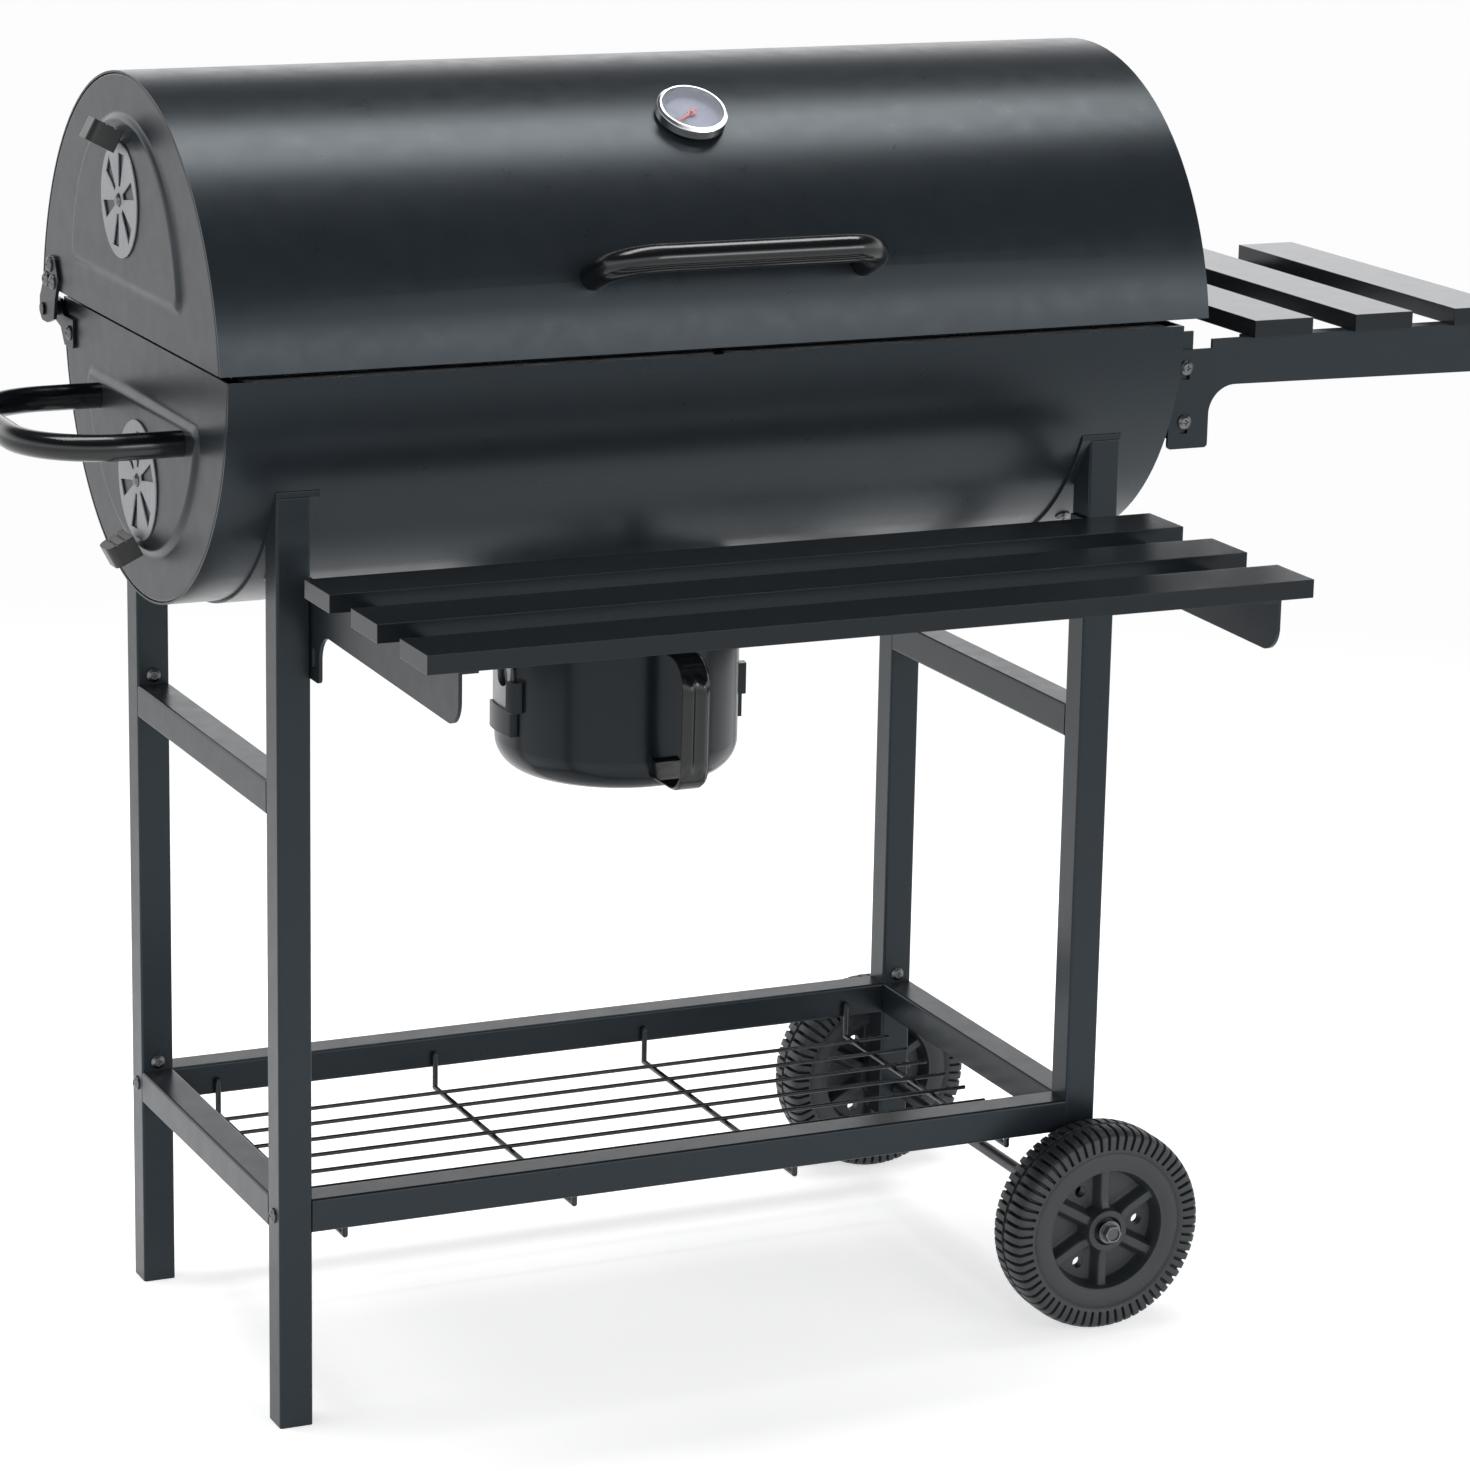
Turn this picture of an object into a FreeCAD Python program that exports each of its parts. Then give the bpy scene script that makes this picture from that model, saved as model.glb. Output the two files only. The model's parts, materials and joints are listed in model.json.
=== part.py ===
import FreeCAD, Part
import math
import os
import re
import Sketcher

# Barrel charcoal grill on a wheeled stand.
# Millimetres. X runs along the barrel, Y from the front (negative) to the back, Z up.
# The origin lies on the ground, midway between the four legs.

SIZES = {
    # stand
    "tube": 25.0,
    "tube_wall": 1.5,
    "tube_round": 2.0,
    "leg_inset": 40.0,
    "leg_half_y": 172.0,
    "leg_top": 700.0,
    "right_leg_foot": 58.0,
    "upper_rail_drop": 221.0,
    "lower_rail_top": 172.0,
    # barrel
    "sheet": 1.5,
    "tub_radius": 190.0,
    "tub_lift": 71.0,
    "tub_half": 370.0,
    "tub_flange": 24.0,
    "lid_grow": 18.0,
    "lid_sink": 19.0,
    "lid_edge_rise": 8.0,
    "lid_over": 11.0,
    "lid_flange": 8.0,
    "end_flange": 12.0,
    "press_height": 3.0,
    "press_slope": 5.0,
    "tub_press_inset": 57.0,
    "tub_press_drop": 24.0,
    "tub_press_gap": 41.0,
    "lid_press_inset": 62.0,
    "lid_press_rise": 33.0,
    "lid_press_gap": 37.0,
    # cradle straps
    "strap_width": 32.0,
    "strap_thick": 2.0,
    "strap_screw_angle": 37.0,
    # hinges
    "hinge_out": 8.0,
    "hinge_drop": 10.0,
    "hinge_plate": 2.5,
    "hinge_pin_radius": 3.0,
    "running_gap": 0.08,
    # fasteners
    "screw_radius": 2.5,
    "screw_head_radius": 5.5,
    "screw_head_height": 3.0,
    "screw_gap": 0.3,
    # handles
    "lid_handle_half": 104.0,
    "lid_handle_rise": 48.0,
    "lid_handle_bend": 34.0,
    "lid_handle_radius": 10.0,
    "lid_handle_angle": 22.5,
    "push_half": 96.0,
    "push_rise": 104.0,
    "push_bend": 62.0,
    "push_radius": 9.5,
    "push_drop": 58.0,
    # thermometer
    "thermo_x": 3.0,
    "thermo_angle": 57.5,
    "thermo_radius": 26.0,
    "thermo_depth": 9.0,
    "dial_radius": 23.0,
    "needle_rest": 35.0,
    # air vents
    "lid_vent_radius": 41.0,
    "tub_vent_radius": 43.5,
    "vent_sheet": 1.2,
    "vent_y": 2.0,
    "lid_vent_rise": 99.0,
    "tub_vent_drop": 103.0,
    "vent_rim": 7.5,
    "vent_slot_in": 10.0,
    "vent_slot_width": 13.8,
    "vent_slot_turn": -18.0,
    "vent_tab_width": 14.0,
    "vent_tab_tilt": 28.0,
    "grip_half": 14.0,
    "grip_thick": 16.0,
    "grip_reach": 26.0,
    "rivet_radius": 2.5,
    # slats and shelves
    "slat_width": 50.0,
    "slat_thick": 13.0,
    "slat_sheet": 1.2,
    "slat_lip": 12.0,
    "front_slat_inset": 2.0,
    "front_slat_pitch": 92.0,
    "front_slat_first": -224.0,
    "front_shelf_drop": 60.0,
    "bracket_sheet": 2.5,
    "bracket_flange": 14.0,
    "side_slat_half": 164.0,
    "side_slat_pitch": 87.5,
    "side_slat_out": 76.0,
    "side_shelf_drop": 4.5,
    "side_plate_y": 158.0,
    # wire shelf
    "wire_radius": 1.6,
    "hanger_radius": 2.2,
    "wire_inset": 32.0,
    "wire_z": 135.0,
    "wire_pitch": 34.4,
    "hanger_first": 270.0,
    "hanger_pitch": 180.0,
    "hanger_hole_z": 158.0,
    # wheels
    "wheel_radius": 80.0,
    "wheel_width": 42.0,
    "wheel_gap": 6.0,
    "axle_inset": 10.0,
    "axle_radius": 5.0,
    "tyre_inner": 60.0,
    # ash cup
    "cup_radius": 92.0,
    "cup_wall": 1.2,
    "cup_depth": 138.0,
    "cup_drop": 19.0,
    "cup_round": 24.0,
    "collar_radius": 88.0,
    "ash_hole_radius": 80.0,
    "cup_handle_out": 60.0,
    "cup_handle_half": 11.0,
    # grates
    "grate_rod": 3.0,
    "grate_bar": 2.0,
    "charcoal_drop": 130.0,
}

# Sizes that follow from the ones above.
DERIVED = {
    "lid_half": "tub_half+lid_over",
    "lid_radius": "tub_radius+lid_grow",
    "tub_axis_z": "leg_top+tub_lift",
    "lid_axis_z": "tub_axis_z-lid_sink",
    "lid_edge_z": "tub_axis_z+lid_edge_rise",
    "tub_press_radius": "tub_radius-tub_press_inset",
    "tub_press_z": "tub_axis_z-tub_press_drop",
    "tub_press_top": "tub_axis_z-tub_press_gap",
    "lid_press_radius": "tub_radius-lid_press_inset",
    "lid_press_z": "tub_axis_z+lid_press_rise",
    "lid_press_low": "tub_axis_z+lid_press_gap",
    "hinge_y": "tub_radius+hinge_out",
    "hinge_z": "tub_axis_z-hinge_drop",
    "push_z": "tub_axis_z-push_drop",
    "lid_vent_z": "tub_axis_z+lid_vent_rise",
    "tub_vent_z": "tub_axis_z-tub_vent_drop",
    "front_shelf_top": "leg_top-front_shelf_drop",
    "side_shelf_top": "tub_axis_z-side_shelf_drop",
    "cup_bottom": "cup_top-cup_depth",
    "cup_top": "tub_axis_z-tub_radius-cup_drop",
    "charcoal_z": "tub_axis_z-charcoal_drop",
    "upper_rail_top": "leg_top-upper_rail_drop",
    "side_slat_first": "tub_half+side_slat_out",
    "leg_half_x": "tub_half-leg_inset",
    "front_slat_half": "leg_half_x-front_slat_inset",
    "wire_half": "leg_half_x-wire_inset",
    "axle_x": "leg_half_x-axle_inset",
}

doc = FreeCAD.newDocument("barrel_grill")
sheet = doc.addObject("Spreadsheet::Sheet", "sizes")
for row, (word, value) in enumerate(SIZES.items(), start=1):
    sheet.set("A%d" % row, word)
    sheet.set("B%d" % row, str(value))
    sheet.setAlias("B%d" % row, word)
doc.recompute()

PARTS = []
FASTENERS = {}


def linked(text):
    """Turn a formula in the words of SIZES and DERIVED into one that reads the spreadsheet."""
    def swap(match):
        word = match.group(0)
        if word in DERIVED:
            return "(%s)" % linked(DERIVED[word])
        return "sizes." + word if word in SIZES else word
    return re.sub(r"[a-z][a-z_]*", swap, str(text))


def bind(item, place, formula):
    """Tie one property of an object to a formula."""
    item.setExpression(place, linked(formula))


def move(item, corner):
    """Tie the position of an object to three formulas."""
    for letter, formula in zip("xyz", corner):
        bind(item, "Placement.Base." + letter, formula)
    return item


def box(name, size, corner):
    """A block given by its size and its lowest corner."""
    item = doc.addObject("Part::Box", name)
    for side, formula in zip(("Length", "Width", "Height"), size):
        bind(item, side, formula)
    return move(item, corner)


TURNS = {
    "X": FreeCAD.Rotation(FreeCAD.Vector(0, 1, 0), 90),
    "Y": FreeCAD.Rotation(FreeCAD.Vector(1, 0, 0), -90),
    "Z": FreeCAD.Rotation(),
}


def rod(name, radius, length, start, direction="Z"):
    """A round rod that starts at a point and runs along X, Y or Z."""
    item = doc.addObject("Part::Cylinder", name)
    bind(item, "Radius", radius)
    bind(item, "Height", length)
    item.Placement = FreeCAD.Placement(FreeCAD.Vector(), TURNS[direction])
    return move(item, start)


def cone(name, radius_low, radius_high, length, start, direction="Z"):
    """A tapered rod that starts at a point and runs along X, Y or Z."""
    item = doc.addObject("Part::Cone", name)
    bind(item, "Radius1", radius_low)
    bind(item, "Radius2", radius_high)
    bind(item, "Height", length)
    item.Placement = FreeCAD.Placement(FreeCAD.Vector(), TURNS[direction])
    return move(item, start)


def cut(name, base, tools):
    """Take tools away from a base."""
    if not isinstance(tools, list):
        tools = [tools]
    tool = tools[0] if len(tools) == 1 else fuse(name + "_tools", tools)
    item = doc.addObject("Part::Cut", name)
    item.Base = base
    item.Tool = tool
    return item


def fuse(name, shapes):
    """Join shapes; shapes that do not touch stay separate solids of one object."""
    item = doc.addObject("Part::MultiFuse", name)
    item.Shapes = shapes
    return item


def common(name, shapes):
    """Keep only what all the shapes share."""
    item = doc.addObject("Part::MultiCommon", name)
    item.Shapes = shapes
    return item


def mirror(name, source, normal):
    """The mirror image across a plane through the origin."""
    item = doc.addObject("Part::Mirroring", name)
    item.Source = source
    item.Base = FreeCAD.Vector(0, 0, 0)
    item.Normal = FreeCAD.Vector(*normal)
    return item


def turned(name, source, axis, angle, corner):
    """A copy of a shape drawn about the origin, turned about an axis and moved into place."""
    item = doc.addObject("Part::Compound", name)
    item.Links = [source]
    item.Placement = FreeCAD.Placement(FreeCAD.Vector(), FreeCAD.Rotation(FreeCAD.Vector(*axis), 90))
    bind(item, "Placement.Rotation.Angle", angle)
    return move(item, corner)


def part(label, item):
    """Name a finished sub-part and put it on the list to be written."""
    item.Label = label
    PARTS.append((label, item))
    return item


def hold(label, items):
    """Keep fasteners back until all of one group are drawn."""
    FASTENERS.setdefault(label, []).extend(items)


def gather(name, items):
    """Keep solids that only touch side by side in one object."""
    group = doc.addObject("Part::Compound", name)
    group.Links = items
    return group


def fastener_groups():
    """Each group of fasteners becomes one sub-part made of separate solids."""
    for label, items in FASTENERS.items():
        part(label, gather(label, items))


def origin_plane(body, role):
    """One of the three planes of a body's own origin."""
    for feature in body.Origin.OriginFeatures:
        if feature.Role == role:
            return feature
    raise ValueError(role)


def outline(body, name, role, offset, loops):
    """A sketch of straight-sided loops whose every corner is tied to two formulas."""
    sketch = body.newObject("Sketcher::SketchObject", name)
    sketch.AttachmentSupport = [(origin_plane(body, role), "")]
    sketch.MapMode = "FlatFace"
    bind(sketch, "AttachmentOffset.Base.z", offset)
    for loop in loops:
        first = sketch.GeometryCount
        points = [FreeCAD.Vector(sheet.evalExpression(linked(a)), sheet.evalExpression(linked(b)), 0)
                  for a, b in loop]
        for k, point in enumerate(points):
            sketch.addGeometry(Part.LineSegment(point, points[(k + 1) % len(points)]))
        for k, (across, up) in enumerate(loop):
            line = first + k
            after = first + (k + 1) % len(loop)
            sketch.addConstraint(Sketcher.Constraint("Coincident", line, 2, after, 1))
            number = sketch.addConstraint(Sketcher.Constraint("DistanceX", -1, 1, line, 1, points[k].x))
            sketch.setExpression("Constraints[%d]" % number, linked(across))
            number = sketch.addConstraint(Sketcher.Constraint("DistanceY", -1, 1, line, 1, points[k].y))
            sketch.setExpression("Constraints[%d]" % number, linked(up))
    return sketch


def plate(name, role, offset, thick, loops, rounds=()):
    """A flat piece cut to an outline; rounds lists corners as (across, up, radius)."""
    body = doc.addObject("PartDesign::Body", name)
    sketch = outline(body, name + "_outline", role, offset, loops)
    pad = body.newObject("PartDesign::Pad", name + "_pad")
    pad.Profile = sketch
    bind(pad, "Length", thick)
    doc.recompute()
    last = pad
    for count, (across, up, radius) in enumerate(rounds):
        spot = (sheet.evalExpression(linked(across)), sheet.evalExpression(linked(up)))
        names = corner_edges(last, role, spot)
        fillet = body.newObject("PartDesign::Fillet", "%s_round_%d" % (name, count))
        fillet.Base = (last, names)
        bind(fillet, "Radius", radius)
        doc.recompute()
        last = fillet
    return body


def corner_edges(feature, role, spot):
    """The edge that runs through the thickness of a plate at one corner of its outline."""
    pick = {"XY_Plane": (0, 1), "XZ_Plane": (0, 2), "YZ_Plane": (1, 2)}[role]
    for number, edge in enumerate(feature.Shape.Edges, start=1):
        ends = [vertex.Point for vertex in edge.Vertexes]
        if len(ends) != 2:
            continue
        if all(abs(end[pick[0]] - spot[0]) + abs(end[pick[1]] - spot[1]) < 0.01 for end in ends):
            return ["Edge%d" % number]
    raise ValueError("no corner at %s" % (spot,))


def square_tube(name, length, middle, direction):
    """A square steel tube with rounded edges, centred on a line from a point."""
    half = "tube/2"
    inner = "(tube/2-tube_wall)"
    corners = [("-", "-"), ("", "-"), ("", ""), ("-", "")]
    outer_loop = [(a + half, b + half) for a, b in corners]
    inner_loop = [(a + inner, b + inner) for a, b in corners]
    rounds = [(a + half, b + half, "tube_round") for a, b in corners]
    body = plate(name, "XY_Plane", "0", length, [outer_loop, inner_loop], rounds)
    body.Placement = FreeCAD.Placement(FreeCAD.Vector(), TURNS[direction])
    return move(body, middle)


def pan_screw(name, shank):
    """A pan-head screw: its head stands on the XY plane and its shank runs down."""
    head = rod(name + "_head", "screw_head_radius", "screw_head_height*0.4", ("0", "0", "0"))
    crown = cone(name + "_crown", "screw_head_radius", "screw_head_radius*0.55", "screw_head_height*0.6",
                 ("0", "0", "screw_head_height*0.4"))
    slot_a = box(name + "_slot_a", ("screw_head_radius*0.8", "screw_head_radius*0.2", "2"),
                 ("-screw_head_radius*0.4", "-screw_head_radius*0.1", "screw_head_height-1.2"))
    slot_b = box(name + "_slot_b", ("screw_head_radius*0.2", "screw_head_radius*0.8", "2"),
                 ("-screw_head_radius*0.1", "-screw_head_radius*0.4", "screw_head_height-1.2"))
    stem = rod(name + "_stem", "screw_radius", shank, ("0", "0", "-(%s)" % shank))
    solid = fuse(name + "_solid", [head, crown, stem])
    return cut(name, solid, [slot_a, slot_b])


FACING = {
    "+X": ((0, 1, 0), "90"),
    "-X": ((0, 1, 0), "-90"),
    "+Y": ((1, 0, 0), "-90"),
    "-Y": ((1, 0, 0), "90"),
    "+Z": ((1, 0, 0), "0"),
    "-Z": ((1, 0, 0), "180"),
}


def screw_group(label, shank, facing, spots):
    """Identical screws whose heads face one way, each kept as its own solid."""
    screw = pan_screw(label + "_screw", shank)
    axis, angle = FACING[facing]
    copies = [turned("%s_%d" % (label, k), screw, axis, angle, spot) for k, spot in enumerate(spots)]
    return gather(label + "_group", copies)


def ring(name, radius, thick, length, start, direction):
    """A round shell of given outer radius."""
    outer = rod(name + "_outer", radius, length, start, direction)
    inner = rod(name + "_inner", "%s-%s" % (radius, thick), length, start, direction)
    return cut(name, outer, inner)


def signs(side):
    return "" if side > 0 else "-"


# ---------------------------------------------------------------- stand

def leg(label, side_x, side_y, foot):
    """One leg, its top trimmed to the round of the cradle strap."""
    x = "%s(leg_half_x-tube/2)" % signs(side_x)
    y = "%s(leg_half_y-tube/2)" % signs(side_y)
    blank = square_tube(label + "_blank", "leg_top-(%s)" % foot, (x, y, foot), "Z")
    saddle = rod(label + "_saddle", "tub_radius+strap_thick", "2*tube", (x + "-tube", "0", "tub_axis_z"), "X")
    tools = [saddle]
    rail_z = "lower_rail_top-tube/2"
    inward = "leg_half_x-tube-1" if side_x > 0 else "-leg_half_x-1"
    tools.append(rod(label + "_rail_hole", "screw_radius+screw_gap", "tube+2", (inward, y, rail_z), "X"))
    if side_x > 0:
        back = "leg_half_y-tube-1" if side_y > 0 else "-leg_half_y-1"
        tools.append(rod(label + "_axle_hole", "axle_radius+0.1", "tube+2", ("axle_x", back, "wheel_radius"), "Y"))
    if side_y < 0:
        for k, height in enumerate(BRACKET_SCREWS):
            wall = "leg_half_x-tube-1" if side_x > 0 else "-leg_half_x+tube-tube_wall-1"
            tools.append(rod("%s_bracket_hole_%d" % (label, k), "screw_radius+screw_gap", "tube_wall+2",
                             (wall, y, height), "X"))
    wall = "leg_half_y-tube-1" if side_y > 0 else "-leg_half_y+tube-tube_wall-1"
    for k, height in enumerate(("upper_rail_top+7", "lower_rail_top+7")):
        tools.append(rod("%s_small_hole_%d" % (label, k), "screw_radius+screw_gap", "tube_wall+2",
                         (x, wall, height), "Y"))
    return part(label, cut(label + "_cut", blank, tools))


BRACKET_SCREWS = ("front_shelf_top-slat_thick-18", "front_shelf_top-slat_thick-50")


def end_rail(label, side_x, top):
    """A cross rail between the front and the back leg of one side."""
    start = ("%s(leg_half_x-tube/2)" % signs(side_x), "-leg_half_y+tube", "%s-tube/2" % top)
    return part(label, square_tube(label + "_tube", "2*leg_half_y-2*tube", start, "Y"))


def long_rail(label, side_y):
    """A long lower rail, with holes in its inner wall for the wire hangers."""
    y = "%s(leg_half_y-tube/2)" % signs(side_y)
    blank = square_tube(label + "_tube", "2*leg_half_x-2*tube",
                        ("-leg_half_x+tube", y, "lower_rail_top-tube/2"), "X")
    wall = "leg_half_y-tube-1" if side_y > 0 else "-leg_half_y+tube-tube_wall-1"
    holes = []
    for k in range(4):
        x = "-hanger_first+%d*hanger_pitch" % k
        holes.append(rod("%s_hole_%d" % (label, k), "hanger_radius+screw_gap", "tube_wall+2",
                         (x, wall, "hanger_hole_z"), "Y"))
    return part(label, cut(label + "_cut", blank, holes))


def cradle_strap(label, side_x):
    """The bent flat bar that carries the tub between the legs of one side."""
    x = "leg_half_x-strap_width" if side_x > 0 else "-leg_half_x"
    band = ring(label + "_band", "tub_radius+strap_thick", "strap_thick", "strap_width",
                (x, "0", "tub_axis_z"), "X")
    window = box(label + "_window", ("strap_width+2", "2*leg_half_y", "tub_radius*2"),
                 (x + "-1", "-leg_half_y", "tub_axis_z-tub_radius*2-10"))
    piece = common(label + "_piece", [band, window])
    holes = strap_holes(label, side_x)
    return part(label, cut(label + "_cut", piece, holes))


def strap_holes(label, side_x):
    """Round holes through strap and tub, on the lines of the strap screws."""
    x = "%s(leg_half_x-strap_width/2)" % signs(side_x)
    holes = []
    for k, turn in enumerate(("strap_screw_angle", "-strap_screw_angle")):
        drill = rod("%s_drill_%d" % (label, k), "screw_radius+screw_gap", "20", ("0", "0", "-tub_radius-10"))
        holes.append(turned("%s_hole_%d" % (label, k), drill, (1, 0, 0), turn, (x, "0", "tub_axis_z")))
    return holes


def strap_screws():
    """Screws that hold the tub on its straps, with a nut for each inside."""
    screws = []
    nuts = []
    screw = turned("strap_screw_down", pan_screw("strap_screw", "9"), (1, 0, 0), "180",
                   ("0", "0", "-tub_radius-strap_thick"))
    nut = cut("strap_nut", hexagon("strap_nut_hex", "5", "4", ("0", "0", "-tub_radius+sheet+0.1")),
              rod("strap_nut_bore", "screw_radius", "10", ("0", "0", "-tub_radius-1")))
    for side in (-1, 1):
        x = "%s(leg_half_x-strap_width/2)" % signs(side)
        for k, turn in enumerate(("strap_screw_angle", "-strap_screw_angle")):
            place = (x, "0", "tub_axis_z")
            mark = "%d_%d" % (side + 1, k)
            screws.append(turned("strap_screw_at_" + mark, screw, (1, 0, 0), turn, place))
            nuts.append(turned("strap_nut_at_" + mark, nut, (1, 0, 0), turn, place))
    hold("frame_fasteners", screws + nuts)


def hexagon(name, radius, height, start, direction="Z"):
    """A six-sided block of given half width across corners."""
    item = doc.addObject("Part::Prism", name)
    item.Polygon = 6
    bind(item, "Circumradius", radius)
    bind(item, "Height", height)
    item.Placement = FreeCAD.Placement(FreeCAD.Vector(), TURNS[direction])
    return move(item, start)


def stand():
    leg("leg_front_left", -1, -1, "0")
    leg("leg_back_left", -1, 1, "0")
    leg("leg_front_right", 1, -1, "right_leg_foot")
    leg("leg_back_right", 1, 1, "right_leg_foot")
    end_rail("upper_rail_left", -1, "upper_rail_top")
    end_rail("upper_rail_right", 1, "upper_rail_top")
    end_rail("lower_rail_left", -1, "lower_rail_top")
    end_rail("lower_rail_right", 1, "lower_rail_top")
    long_rail("long_rail_front", -1)
    long_rail("long_rail_back", 1)
    cradle_strap("cradle_strap_left", -1)
    cradle_strap("cradle_strap_right", 1)
    strap_screws()
    rail_z = "lower_rail_top-tube/2"
    y = "leg_half_y-tube/2"
    left = screw_group("rail_screws_left", "tube+8", "-X",
                       [("-leg_half_x", "-(%s)" % y, rail_z), ("-leg_half_x", y, rail_z)])
    right = screw_group("rail_screws_right", "tube+8", "+X",
                        [("leg_half_x", "-(%s)" % y, rail_z), ("leg_half_x", y, rail_z)])
    hold("frame_fasteners", [left, right])
    spots = [("%s(leg_half_x-tube/2)" % signs(s), height) for s in (-1, 1)
             for height in ("upper_rail_top+7", "lower_rail_top+7")]
    front = screw_group("leg_screws_front", "tube_wall+3", "+Y",
                        [(x, "-leg_half_y+tube", height) for x, height in spots])
    back = screw_group("leg_screws_back", "tube_wall+3", "-Y",
                       [(x, "leg_half_y-tube", height) for x, height in spots])
    hold("frame_fasteners", [front, back])


# ---------------------------------------------------------------- tub and lid

def pressing(name, side, face, press, upper):
    """The raised D of an end panel: a low dome with a straight chord, and the hollow behind it."""
    radius, middle_z, limit = press
    parts = []
    for tag, grow, back in (("out", "0", "0"), ("in", "-sheet", "sheet")):
        reach = "press_height" if tag == "out" else "press_height+sheet"
        start = face if tag == "out" else "%s-%ssheet*2" % (face, signs(side))
        dome = cone("%s_%s_dome" % (name, tag), "%s+(%s)" % (radius, grow),
                    "%s+(%s)-press_slope" % (radius, grow), reach, ("0", "0", "0"))
        dome_at = turned("%s_%s_turn" % (name, tag), dome, (0, 1, 0), "%s90" % signs(side), (start, "0", middle_z))
        keep = "%s+(%s)" % (limit, grow) if upper else "%s-(%s)" % (limit, grow)
        low = "%s-500" % keep if upper else keep
        window = box("%s_%s_window" % (name, tag), ("60", "500", "500"), ("%s-30" % face, "-250", low))
        parts.append(common("%s_%s" % (name, tag), [dome_at, window]))
    return parts


def vent_wedges(name, face, z, radius, turn):
    """Six wedge openings round a vent's centre, each with one edge on a radius and a straight outer end."""
    reach = "%s-vent_rim" % radius
    wedge = plate(name + "_wedge", "XY_Plane", "0", "60",
                  [[("vent_slot_in", "0"), (reach, "0"), (reach, "vent_slot_width"),
                    ("vent_slot_in", "vent_slot_width*vent_slot_in/(%s)" % reach)]])
    around = [turned("%s_wedge_%d" % (name, k), wedge, (0, 0, 1), "%d*60+90+(%s)-12" % (k, turn), ("0", "0", "0"))
              for k in range(6)]
    return turned(name, fuse(name + "_all", around), (0, 1, 0), "90", ("%s-30" % face, "vent_y", z))


def end_panel(label, side, half, radius, axis_z, limit, upper, press, vent, extra, added=()):
    """A barrel end: flat half-round sheet, rim flange turned inward and raised D; the left has a vent."""
    face = "%s(%s)" % (signs(side), half)
    inner = "%s(%s-sheet)" % (signs(side), half)
    low = inner if side > 0 else face
    disc = rod(label + "_disc", "%s-sheet" % radius, "sheet", (low, "0", axis_z), "X")
    flange_low = "%s(%s-sheet-end_flange)" % (signs(side), half) if side > 0 else inner
    flange = ring(label + "_flange", "(%s-sheet)" % radius, "sheet", "end_flange", (flange_low, "0", axis_z), "X")
    window = box(label + "_window", ("80", "600", "600"),
                 ("%s-40" % face, "-300", limit if upper else "%s-600" % limit))
    shell = common(label + "_shell", [fuse(label + "_blank", [disc, flange]), window])
    out, hollow = pressing(label + "_press", side, face, press, not upper)
    tools = [hollow] + extra
    if side < 0:
        tools.append(vent_wedges(label + "_vent", face, vent[0], vent[1], "vent_slot_turn+30"))
        tools.append(rod(label + "_rivet_hole", "rivet_radius", "40", ("%s-20" % face, "vent_y", vent[0]), "X"))
    return part(label, cut(label + "_cut", fuse(label + "_body", [shell, out] + list(added)), tools))


def hinge_holes(name, side, half, spots):
    """Small through holes in an end panel for the screws of a hinge plate."""
    return [rod("%s_%d" % (name, k), "screw_radius+screw_gap", "20",
                ("%s(%s)-10" % (signs(side), half), y, z), "X") for k, (y, z) in enumerate(spots)]


LID_HINGE_SPOTS = (("hinge_y-19", "hinge_z+36"), ("hinge_y-26", "hinge_z+24"), ("hinge_y-10", "hinge_z+24"))
TUB_HINGE_SPOTS = (("hinge_y-30", "hinge_z-14"),)
PUSH_SPOTS = ("-push_half", "push_half")
ANGLE_SPOTS = (("-side_plate_y+18", "hinge_z-28"), ("-side_plate_y+18", "hinge_z-69"))


def ledge(label, side):
    """The welded ledge inside a tub end that carries the charcoal grate."""
    low = "charcoal_z-3*grate_rod"
    wall_x = "-tub_half+sheet" if side < 0 else "tub_half-sheet-2"
    shelf_x = "-tub_half+sheet" if side < 0 else "tub_half-sheet-30"
    shelf = box(label + "_shelf", ("30", "200", "2"), (shelf_x, "-100", low + "-2"))
    wall = box(label + "_wall", ("2", "200", "14"), (wall_x, "-100", low + "-14"))
    return fuse(label, [shelf, wall])


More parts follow.
